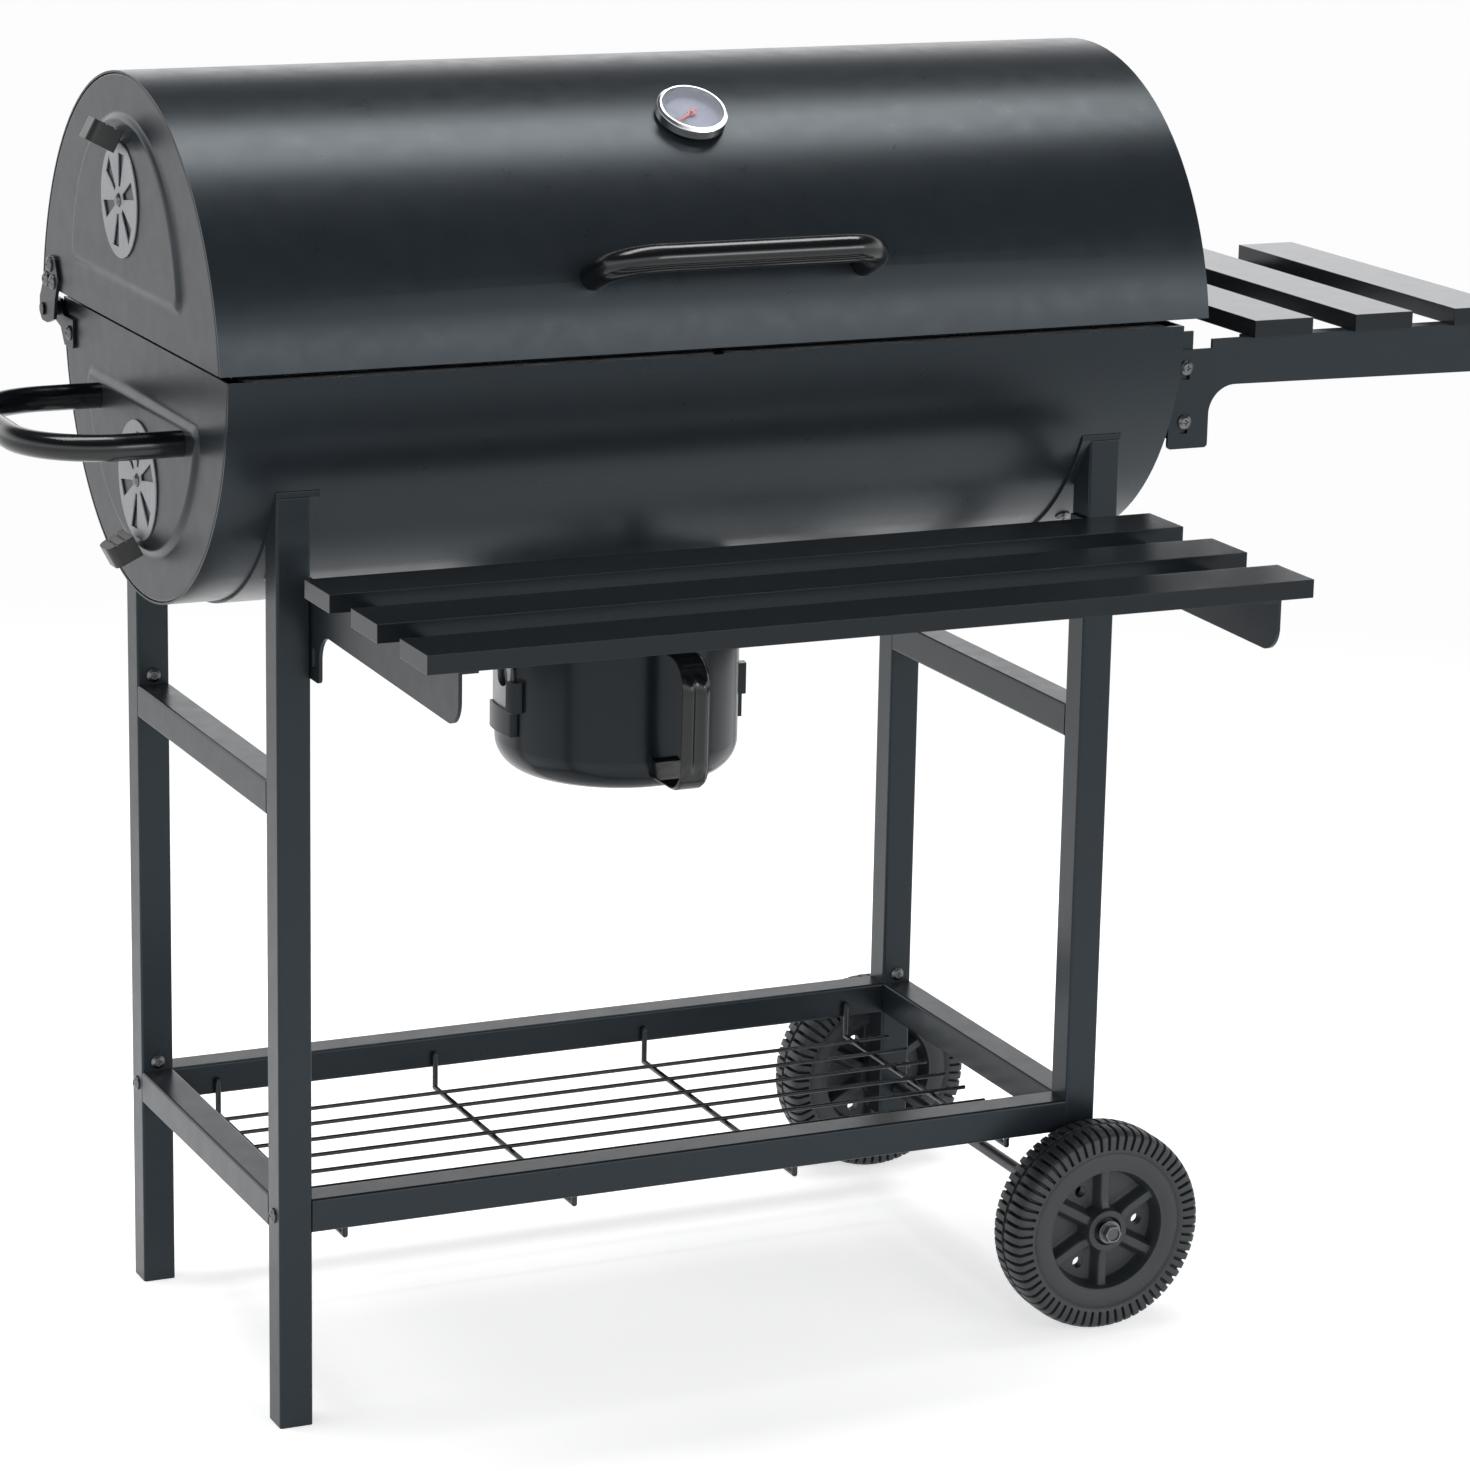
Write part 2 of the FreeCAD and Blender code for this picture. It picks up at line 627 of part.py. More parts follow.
def tub():
    skin = ring("tub_skin_ring", "tub_radius", "sheet", "2*tub_half", ("-tub_half", "0", "tub_axis_z"), "X")
    lower = box("tub_skin_window", ("2*tub_half+2", "500", "300"), ("-tub_half-1", "-250", "tub_axis_z-300"))
    half = common("tub_skin_half", [skin, lower])
    reach = "tub_half-sheet-end_flange-0.5"
    lips = [box("tub_lip_front", ("2*(%s)" % reach, "tub_flange", "sheet"),
                ("-(%s)" % reach, "-tub_radius", "tub_axis_z-sheet")),
            box("tub_lip_back", ("2*(%s)" % reach, "tub_flange", "sheet"),
                ("-(%s)" % reach, "tub_radius-tub_flange", "tub_axis_z-sheet"))]
    trim = rod("tub_lip_trim", "tub_radius", "2*tub_half", ("-tub_half", "0", "tub_axis_z"), "X")
    rim = common("tub_lips", [fuse("tub_lips_raw", lips), trim])
    tools = [rod("ash_hole", "ash_hole_radius", "60", ("0", "0", "tub_axis_z-tub_radius-20"))]
    tools += strap_holes("tub_left", -1) + strap_holes("tub_right", 1)
    part("tub_skin", cut("tub_skin_cut", fuse("tub_skin_whole", [half, rim]), tools))
    for side, word in ((-1, "left"), (1, "right")):
        extra = hinge_holes("tub_hinge_hole_" + word, side, "tub_half", TUB_HINGE_SPOTS)
        if side < 0:
            extra += [rod("push_hole_%d" % k, "screw_radius+screw_gap", "20", ("-tub_half-10", y, "push_z"), "X")
                      for k, y in enumerate(PUSH_SPOTS)]
        else:
            for k, (y, z) in enumerate(ANGLE_SPOTS):
                extra.append(rod("angle_hole_front_%d" % k, "screw_radius+screw_gap", "20",
                                 ("tub_half-10", y, z), "X"))
                extra.append(rod("angle_hole_back_%d" % k, "screw_radius+screw_gap", "20",
                                 ("tub_half-10", "-(%s)" % y, z), "X"))
        end_panel("tub_end_" + word, side, "tub_half", "tub_radius", "tub_axis_z", "tub_axis_z", False,
                  ("tub_press_radius" if side < 0 else "tub_press_radius-12", "tub_press_z", "tub_press_top"),
                  ("tub_vent_z", "tub_vent_radius"), extra, [ledge("ledge_" + word, side)])


def lid_point(out, angle="lid_handle_angle"):
    """Y and Z of a point at some distance outside the lid's skin, at an angle above the horizontal."""
    y = "-(lid_radius+(%s))*cos(%s*1deg)" % (out, angle)
    z = "lid_axis_z+(lid_radius+(%s))*sin(%s*1deg)" % (out, angle)
    return y, z


def lid():
    skin = ring("lid_skin_ring", "lid_radius", "sheet", "2*lid_half", ("-lid_half", "0", "lid_axis_z"), "X")
    upper = box("lid_skin_window", ("2*lid_half+2", "500", "300"), ("-lid_half-1", "-250", "lid_edge_z"))
    reach = "lid_half-sheet-end_flange-0.5"
    edge_y = "sqrt(lid_radius^2-(lid_edge_z-lid_axis_z)^2)"
    lips = [box("lid_lip_front", ("2*(%s)" % reach, "lid_flange", "sheet"),
                ("-(%s)" % reach, "-%s" % edge_y, "lid_edge_z")),
            box("lid_lip_back", ("2*(%s)" % reach, "lid_flange", "sheet"),
                ("-(%s)" % reach, "%s-lid_flange" % edge_y, "lid_edge_z"))]
    trim = rod("lid_lip_trim", "lid_radius", "2*lid_half", ("-lid_half", "0", "lid_axis_z"), "X")
    half = common("lid_skin_half", [skin, upper])
    rim = common("lid_lips", [fuse("lid_lips_raw", lips), trim])
    tools = []
    for k, x in enumerate(("-lid_handle_half", "lid_handle_half")):
        drill = rod("lid_handle_drill_%d" % k, "screw_radius+screw_gap", "30", ("0", "0", "-15"))
        y, z = lid_point("0")
        tools.append(turned("lid_handle_hole_%d" % k, drill, (1, 0, 0), "90-lid_handle_angle", (x, y, z)))
    y, z = lid_point("0", "thermo_angle")
    drill = rod("thermo_drill", "4.5", "30", ("0", "0", "-15"))
    tools.append(turned("thermo_hole", drill, (1, 0, 0), "90-thermo_angle", ("thermo_x", y, z)))
    part("lid_skin", cut("lid_skin_cut", fuse("lid_skin_whole", [half, rim]), tools))
    for side, word in ((-1, "left"), (1, "right")):
        extra = hinge_holes("lid_hinge_hole_" + word, side, "lid_half", LID_HINGE_SPOTS)
        end_panel("lid_end_" + word, side, "lid_half", "lid_radius", "lid_axis_z", "lid_edge_z", True,
                  ("lid_press_radius", "lid_press_z", "lid_press_low"), ("lid_vent_z", "lid_vent_radius"), extra)


# ---------------------------------------------------------------- hinges and handles

def hinges():
    pin_hole = "hinge_pin_radius+running_gap"
    lid_loop = [("hinge_y-38", "hinge_z+27"), ("hinge_y-30", "hinge_z+43"), ("hinge_y-16", "hinge_z+43"),
                ("hinge_y-2", "hinge_z+24"), ("hinge_y+9", "hinge_z+8"), ("hinge_y+9", "hinge_z-9"),
                ("hinge_y-9", "hinge_z-9"), ("hinge_y-26", "hinge_z-4"), ("hinge_y-30", "hinge_z+12")]
    lid_rounds = [("hinge_y-30", "hinge_z+43", "5"), ("hinge_y-16", "hinge_z+43", "5"),
                  ("hinge_y+9", "hinge_z-9", "8"), ("hinge_y-9", "hinge_z-9", "6")]
    tub_loop = [("hinge_y-38", "hinge_z-3"), ("hinge_y-38", "hinge_z-25"), ("hinge_y-16", "hinge_z-25"),
                ("hinge_y-7", "hinge_z-13"), ("hinge_y+9", "hinge_z-9"), ("hinge_y+9", "hinge_z+8"),
                ("hinge_y-7", "hinge_z+8"), ("hinge_y-15", "hinge_z-3")]
    tub_rounds = [("hinge_y-38", "hinge_z-25", "4"), ("hinge_y+9", "hinge_z-9", "6"), ("hinge_y+9", "hinge_z+8", "7")]
    lid_blank = plate("lid_hinge_blank", "YZ_Plane", "-lid_half-hinge_plate", "hinge_plate", [lid_loop], lid_rounds)
    tub_blank = plate("tub_hinge_blank", "YZ_Plane", "-tub_half-hinge_plate", "hinge_plate", [tub_loop], tub_rounds)
    lid_tools = [rod("lid_hinge_pin_hole", pin_hole, "20", ("-lid_half-10", "hinge_y", "hinge_z"), "X")]
    lid_tools += hinge_holes("lid_plate_hole", -1, "lid_half", LID_HINGE_SPOTS)
    tub_tools = [rod("tub_hinge_pin_hole", "hinge_pin_radius", "20", ("-tub_half-10", "hinge_y", "hinge_z"), "X")]
    tub_tools += hinge_holes("tub_plate_hole", -1, "tub_half", TUB_HINGE_SPOTS)
    lid_plate = cut("lid_hinge_plate", lid_blank, lid_tools)
    tub_plate = cut("tub_hinge_plate", tub_blank, tub_tools)
    part("lid_hinge_left", lid_plate)
    part("lid_hinge_right", mirror("lid_hinge_mirror", lid_plate, (1, 0, 0)))
    part("tub_hinge_left", tub_plate)
    part("tub_hinge_right", mirror("tub_hinge_mirror", tub_plate, (1, 0, 0)))
    spot = ("hinge_y", "hinge_z")
    head_x = "-lid_half-hinge_plate-0.3"
    pieces = [rod("hinge_pin_head", "4.8", "1.4", (head_x + "-1.4",) + spot, "X"),
              rod("hinge_pin_stem", "hinge_pin_radius", "lid_half-tub_half+hinge_plate+10", (head_x,) + spot, "X"),
              rod("hinge_pin_shoulder", "5.5", "lid_half-tub_half-hinge_plate-0.3", ("-lid_half+0.3",) + spot, "X")]
    pin = fuse("hinge_pin", pieces)
    nut = cut("hinge_nut", hexagon("hinge_nut_hex", "5.5", "4.5", ("-tub_half",) + spot, "X"),
              rod("hinge_nut_bore", "hinge_pin_radius", "20", ("-tub_half-5",) + spot, "X"))
    hold("hinge_bolts", [pin, mirror("hinge_pin_mirror", pin, (1, 0, 0)),
                         nut, mirror("hinge_nut_mirror", nut, (1, 0, 0))])
    for word, spots in (("lid", LID_HINGE_SPOTS), ("tub", TUB_HINGE_SPOTS)):
        label = word + "_hinge_screws"
        left = screw_group(label, "hinge_plate+sheet+3", "-X",
                           [("-%s_half-hinge_plate" % word, y, z) for y, z in spots])
        hold(word + "_fasteners", [left, mirror(label + "_mirror", left, (1, 0, 0))])


def bow_handle(name, half, rise, bend, radius):
    """A round-tube handle: two legs, two bends and a bar, standing on the XY plane."""
    leg_piece = rod(name + "_leg", radius, "%s-%s" % (rise, bend), (half, "0", "0"))
    corner = doc.addObject("Part::Torus", name + "_corner")
    bind(corner, "Radius1", bend)
    bind(corner, "Radius2", radius)
    corner.Angle3 = 90
    corner.Placement = FreeCAD.Placement(FreeCAD.Vector(), FreeCAD.Rotation(FreeCAD.Vector(1, 0, 0), 90))
    move(corner, ("%s-%s" % (half, bend), "0", "%s-%s" % (rise, bend)))
    bar = rod(name + "_bar", radius, "%s-%s" % (half, bend), ("0", "0", rise), "X")
    right = fuse(name + "_right", [leg_piece, corner, bar])
    whole = fuse(name + "_whole", [right, mirror(name + "_left", right, (1, 0, 0))])
    bores = [rod("%s_bore_%d" % (name, k), "screw_radius", "12", ("%s%s" % (word, half), "0", "-1"))
             for k, word in enumerate(("-", ""))]
    return cut(name, whole, bores)


def handle_screws(name, half):
    """The two screws that come up through the sheet into the feet of a bow handle."""
    screw = pan_screw(name + "_one", "11")
    return fuse(name, [turned("%s_%d" % (name, k), screw, (1, 0, 0), "180", ("%s%s" % (word, half), "0", "-sheet-0.1"))
                       for k, word in enumerate(("-", ""))])


def handles():
    y, z = lid_point("0")
    bow = bow_handle("lid_bow", "lid_handle_half", "lid_handle_rise", "lid_handle_bend", "lid_handle_radius")
    part("lid_handle", turned("lid_bow_turn", bow, (1, 0, 0), "90-lid_handle_angle", ("0", y, z)))
    screws = handle_screws("lid_bow_screws", "lid_handle_half")
    hold("lid_fasteners", [turned("lid_bow_screws_turn", screws, (1, 0, 0), "90-lid_handle_angle", ("0", y, z))])
    place = ("-tub_half-press_height", "0", "push_z")
    push = bow_handle("push_bow", "push_half", "push_rise", "push_bend", "push_radius")
    push_side = turned("push_bow_side", push, (0, 0, 1), "90", ("0", "0", "0"))
    part("push_handle", turned("push_bow_turn", push_side, (0, 1, 0), "-90", place))
    screws = handle_screws("push_bow_screws", "push_half")
    screws_side = turned("push_bow_screws_side", screws, (0, 0, 1), "90", ("0", "0", "0"))
    hold("tub_fasteners", [turned("push_bow_screws_turn", screws_side, (0, 1, 0), "-90", place)])


def on_lid(label, source):
    """A thermometer piece drawn about the origin, put in its place on the lid."""
    y, z = lid_point("0", "thermo_angle")
    return turned(label + "_turn", source, (1, 0, 0), "90-thermo_angle", ("thermo_x", y, z))


def thermometer():
    base = rod("thermo_base", "thermo_radius-3", "2", ("0", "0", "0.5"))
    cup = rod("thermo_cup", "thermo_radius", "thermo_depth-2.5", ("0", "0", "2.5"))
    shoulder = cone("thermo_shoulder", "thermo_radius", "thermo_radius-2", "2", ("0", "0", "thermo_depth"))
    bore = rod("thermo_bore", "dial_radius", "20", ("0", "0", "3.5"))
    stem = rod("thermo_stem", "4", "46.5", ("0", "0", "-44.5"))
    case = cut("thermo_case", fuse("thermo_body", [base, cup, shoulder, stem]), bore)
    face = rod("dial_face", "dial_radius", "0.6", ("0", "0", "3.5"))
    post = rod("dial_post", "1.2", "3.4", ("0", "0", "4.1"))
    glass = rod("thermo_glass", "dial_radius", "1", ("0", "0", "thermo_depth+0.5"))
    arm = plate("needle_arm", "XY_Plane", "5.4", "0.5",
                [[("-18", "-0.3"), ("-18", "0.3"), ("0", "1.2"), ("6", "1.0"), ("6", "-1.0"), ("0", "-1.2")]])
    arm = turned("needle_arm_turn", arm, (0, 0, 1), "needle_rest", ("0", "0", "0"))
    boss = rod("needle_boss", "3", "0.9", ("0", "0", "5.2"))
    hole = rod("needle_hole", "1.2+running_gap", "10", ("0", "0", "0"))
    needle = cut("needle", fuse("needle_body", [arm, boss]), hole)
    nut = cut("thermo_nut", hexagon("thermo_nut_hex", "9", "4", ("0", "0", "-sheet-4.2")),
              rod("thermo_nut_bore", "4", "20", ("0", "0", "-12")))
    part("thermometer_case", on_lid("thermometer_case", case))
    part("thermometer_dial", on_lid("thermometer_dial", fuse("dial", [face, post])))
    part("thermometer_glass", on_lid("thermometer_glass", glass))
    part("thermometer_needle", on_lid("thermometer_needle", needle))
    hold("lid_fasteners", [on_lid("thermometer_nut", nut)])


def vent(label, owner, half, direction):
    """A round air vent: slotted disc with a bent tab, its grip, and the rivet it turns on."""
    z = label + "_z"
    radius = label + "_radius"
    face = "-%s-press_height" % half
    out = "%s-0.3" % face
    tilt = "%svent_tab_tilt" % signs(direction)
    root = (out + "-vent_sheet/2", "vent_y", "%s%s(%s-1)" % (z, "+" if direction > 0 else "-", radius))
    disc = rod(label + "_blank", radius, "vent_sheet", (out + "-vent_sheet", "vent_y", z), "X")
    tab = box(label + "_tab", ("18", "vent_tab_width", "vent_sheet"), ("-18", "-vent_tab_width/2", "-vent_sheet/2"))
    tab_at = turned(label + "_tab_at", tab, (0, 1, 0), tilt, root)
    slots = vent_wedges(label + "_slots", "-%s" % half, z, radius, "vent_slot_turn")
    hole = rod(label + "_hole", "rivet_radius+running_gap", "20", (face + "-10", "vent_y", z), "X")
    part(label + "_disc", cut(label + "_cut", fuse(label + "_sheet", [disc, tab_at]), [slots, hole]))
    loop = [("-5", "-grip_half"), ("-grip_reach", "3-grip_half"), ("-grip_reach", "grip_half-3"), ("-5", "grip_half")]
    rounds = [("-grip_reach", "3-grip_half", "6"), ("-grip_reach", "grip_half-3", "6")]
    blank = plate(label + "_grip_blank", "XY_Plane", "-grip_thick/2", "grip_thick", [loop], rounds)
    pocket = box(label + "_pocket", ("20", "vent_tab_width", "vent_sheet"),
                 ("-18", "-vent_tab_width/2", "-vent_sheet/2"))
    grooves = [box("%s_groove_%d" % (label, k), ("1.6", "50", "1.4"), (back, "-25", "grip_thick/2-1.2"))
               for k, back in enumerate(("-12", "-19"))]
    grip = cut(label + "_grip_cut", blank, [pocket] + grooves)
    part(label + "_grip", turned(label + "_grip_at", grip, (0, 1, 0), tilt, root))
    stem = rod(label + "_rivet_stem", "rivet_radius", "sheet+vent_sheet+0.6",
               (face + "-vent_sheet-0.6", "vent_y", z), "X")
    head = cone(label + "_rivet_head", "3", "5", "1.8", (face + "-vent_sheet-2.4", "vent_y", z), "X")
    tail = rod(label + "_rivet_tail", "4", "1.2", (face + "+sheet", "vent_y", z), "X")
    hold(owner, [fuse(label + "_rivet", [stem, head, tail])])


# ---------------------------------------------------------------- shelves

def slat(label, along, start, side, middle_half, top):
    """A folded sheet slat, open underneath between two lips."""
    across = "slat_width"
    inset = "slat_sheet"

    def block(name, length_off, low_off, width, depth_low, depth):
        length = "2*%s-2*(%s)" % (middle_half, length_off)
        low = "-%s+(%s)" % (middle_half, length_off)
        if along == "X":
            return box(name, (length, width, depth), (low, "%s+(%s)" % (start, low_off), depth_low))
        return box(name, (width, length, depth), ("%s+(%s)" % (start, low_off), low, depth_low))

    outer = block(label + "_outer", "0", "0", across, "%s-slat_thick" % top, "slat_thick")
    inner = block(label + "_inner", inset, inset, "slat_width-2*slat_sheet", "%s-slat_thick-1" % top,
                  "slat_thick+1-slat_sheet")
    lips = [block(label + "_lip_a", inset, "slat_sheet", "slat_lip", "%s-slat_thick" % top, "slat_sheet"),
            block(label + "_lip_b", inset, "slat_width-slat_sheet-slat_lip", "slat_lip",
                  "%s-slat_thick" % top, "slat_sheet")]
    shell = fuse(label + "_shell", [cut(label + "_channel", outer, inner)] + lips)
    drills = [rod("%s_drill_%d" % (label, k), "screw_radius", "6", (x, y, "%s-slat_thick-1" % top))
              for k, (x, y) in enumerate(side)]
    return part(label, cut(label + "_cut", shell, drills))


def front_slat_y(k):
    return "front_slat_first-slat_width-%d*front_slat_pitch" % k


def side_slat_x(k):
    return "side_slat_first+%d*side_slat_pitch" % k


def front_shelf():
    low = "front_shelf_top-slat_thick"
    spots = []
    for k, word in enumerate(("back", "middle", "front")):
        y = front_slat_y(k) + "+slat_width-slat_sheet-slat_lip/2"
        pair = [("%s(leg_half_x-tube-bracket_sheet-8)" % s, y) for s in ("-", "")]
        slat("front_slat_" + word, "X", front_slat_y(k), pair, "front_slat_half", "front_shelf_top")
        spots += pair
    front = front_slat_y(2) + "+4"
    tab_front = "-leg_half_y-17"
    tab_back = "-leg_half_y+22"
    loop = [(tab_back, low), (front, low), (front, low + "-39"), (tab_front, low + "-34"),
            (tab_front, low + "-71"), (tab_back, low + "-71")]
    rounds = [(front, low + "-39", "18"), (tab_front, low + "-34", "20"), (tab_front, low + "-71", "4"),
              (tab_back, low + "-71", "4")]
    blank = plate("bracket_blank", "YZ_Plane", "-leg_half_x+tube", "bracket_sheet", [loop], rounds)
    flange = box("bracket_lip", ("bracket_flange", "front_slat_first-(%s)" % front, "bracket_sheet"),
                 ("-leg_half_x+tube", front, low + "-bracket_sheet"))
    tools = [rod("bracket_hole_%d" % k, "screw_radius+screw_gap", "20",
                 ("-leg_half_x+tube-10", "-leg_half_y+tube/2", z), "X") for k, z in enumerate(BRACKET_SCREWS)]
    tools += [rod("bracket_flange_hole_%d" % k, "screw_radius+screw_gap", "20", (x, y, low + "-10"))
              for k, (x, y) in enumerate(spots[0::2])]
    tools.append(box("bracket_slot", ("20", "5", "14"), ("-leg_half_x+tube-10", "-leg_half_y-8", low + "-62")))
    bracket = cut("bracket", fuse("bracket_whole", [blank, flange]), tools)
    part("front_bracket_left", bracket)
    part("front_bracket_right", mirror("bracket_mirror", bracket, (1, 0, 0)))
    face = "leg_half_x-tube-bracket_sheet"
    y = "-leg_half_y+tube/2"
    left = screw_group("bracket_screws_left", "bracket_sheet+10", "+X",
                       [("-(%s)" % face, y, z) for z in BRACKET_SCREWS])
    hold("shelf_fasteners", [left, mirror("bracket_screws_mirror", left, (1, 0, 0))])
    hold("shelf_fasteners", [screw_group("front_slat_screws", "bracket_sheet+4", "-Z",
                                         [(x, y, low + "-bracket_sheet") for x, y in spots])])


def side_shelf():
    low = "side_shelf_top-slat_thick"
    spots = []
    for k, word in enumerate(("inner", "middle", "outer")):
        x = side_slat_x(k) + "+slat_sheet+slat_lip/2"
        pair = [(x, "%s(side_plate_y-bracket_sheet-8)" % s) for s in ("-", "")]
        slat("side_slat_" + word, "Y", side_slat_x(k), pair, "side_slat_half", "side_shelf_top")
        spots += pair
    near = "tub_half+8"
    neck = "tub_half+42"
    far = side_slat_x(2) + "+slat_width-6"
    loop = [(near, low + "-82"), (neck, low + "-82"), (neck, low + "-35"), (far, low + "-38"), (far, low),
            (neck + "+1", low), (neck + "+1", low + "-7"), (near, low + "-7")]
    rounds = [(neck, low + "-35", "22"), (far, low + "-38", "18"), (near, low + "-82", "3"), (neck, low + "-82", "3")]
    blank = plate("side_plate_blank", "XZ_Plane", "side_plate_y-bracket_sheet", "bracket_sheet", [loop], rounds)
    flange = box("side_plate_lip", ("%s-(side_slat_first)-4" % far, "bracket_flange", "bracket_sheet"),
                 ("side_slat_first-2", "-side_plate_y", low + "-bracket_sheet"))
    bolt_x = "tub_half+21.5"
    heights = ("hinge_z-28", "hinge_z-69")
    tools = [box("side_plate_slot_%d" % k, ("2*screw_radius+1", "20", "14"),
                 (bolt_x + "-screw_radius-0.5", "-side_plate_y-10", z + "-9")) for k, z in enumerate(heights)]
    tools += [rod("side_plate_hole_%d" % k, "screw_radius+screw_gap", "20", (x, y, low + "-10"))
              for k, (x, y) in enumerate(spots[0::2])]
    side_plate = cut("side_plate", fuse("side_plate_whole", [blank, flange]), tools)
    part("side_bracket_front", side_plate)
    part("side_bracket_back", mirror("side_plate_mirror", side_plate, (0, 1, 0)))
    back_face = "-side_plate_y+bracket_sheet"
    leaf_out = box("side_angle_out", ("28", "bracket_sheet", "80"), ("tub_half", back_face, "hinge_z-81"))
    leaf_on = box("side_angle_on", ("bracket_sheet", "28", "80"), ("tub_half", back_face, "hinge_z-81"))
    holes = [rod("side_angle_hole_%d" % k, "screw_radius+screw_gap", "20", (bolt_x, "-side_plate_y-5", z), "Y")
             for k, z in enumerate(heights)]
    holes += [rod("side_angle_fix_%d" % k, "screw_radius+screw_gap", "20", ("tub_half-5", y, z), "X")
              for k, (y, z) in enumerate(ANGLE_SPOTS)]
    angle = cut("side_angle", fuse("side_angle_whole", [leaf_out, leaf_on]), holes)
    part("side_angles", fuse("side_angles_pair", [angle, mirror("side_angle_mirror", angle, (0, 1, 0))]))
    front = screw_group("side_bolts_front", "2*bracket_sheet+5", "-Y", [(bolt_x, "-side_plate_y", z) for z in heights])
    fixed = screw_group("side_angle_screws_front", "bracket_sheet+sheet+3", "+X",
                        [("tub_half+bracket_sheet", y, z) for y, z in ANGLE_SPOTS])
    hold("shelf_fasteners", [front, mirror("side_bolts_mirror", front, (0, 1, 0)),
                             fixed, mirror("side_angle_screws_mirror", fixed, (0, 1, 0))])
    hold("shelf_fasteners", [screw_group("side_slat_screws", "bracket_sheet+4", "-Z",
                                         [(x, y, low + "-bracket_sheet") for x, y in spots])])


def ball(name, radius, middle):
    item = doc.addObject("Part::Sphere", name)
    bind(item, "Radius", radius)
    return move(item, middle)


def wire_shelf():
    """Long wires laid and spot-welded on four bent hangers that hook into the long rails."""
    pieces = []
    for k in range(8):
        pieces.append(rod("wire_%d" % k, "wire_radius", "2*wire_half",
                          ("-wire_half", "(%d-3.5)*wire_pitch" % k, "wire_z"), "X"))
    low = "wire_z-wire_radius-hanger_radius"
    rise = "leg_half_y-tube-3.6"
    for k in range(4):
        x = "-hanger_first+%d*hanger_pitch" % k
        tag = "hanger_%d_" % k
        hanger = [rod(tag + "run", "hanger_radius", "2*(%s)" % rise, (x, "-(%s)" % rise, low), "Y")]
        for side, word in (("-", "front"), ("", "back")):
            y = "%s(%s)" % (side, rise)
            hanger.append(rod(tag + word + "_rise", "hanger_radius", "hanger_hole_z-(%s)" % low, (x, y, low)))
            stub = "-(%s)-9" % rise if side else rise
            hanger.append(rod(tag + word + "_stub", "hanger_radius", "9", (x, stub, "hanger_hole_z"), "Y"))
            hanger.append(ball(tag + word + "_low_bend", "hanger_radius", (x, y, low)))
            hanger.append(ball(tag + word + "_top_bend", "hanger_radius", (x, y, "hanger_hole_z")))
        pieces.append(fuse(tag + "whole", hanger))
    part("wire_shelf", gather("wire_shelf_all", pieces))


# ---------------------------------------------------------------- wheels

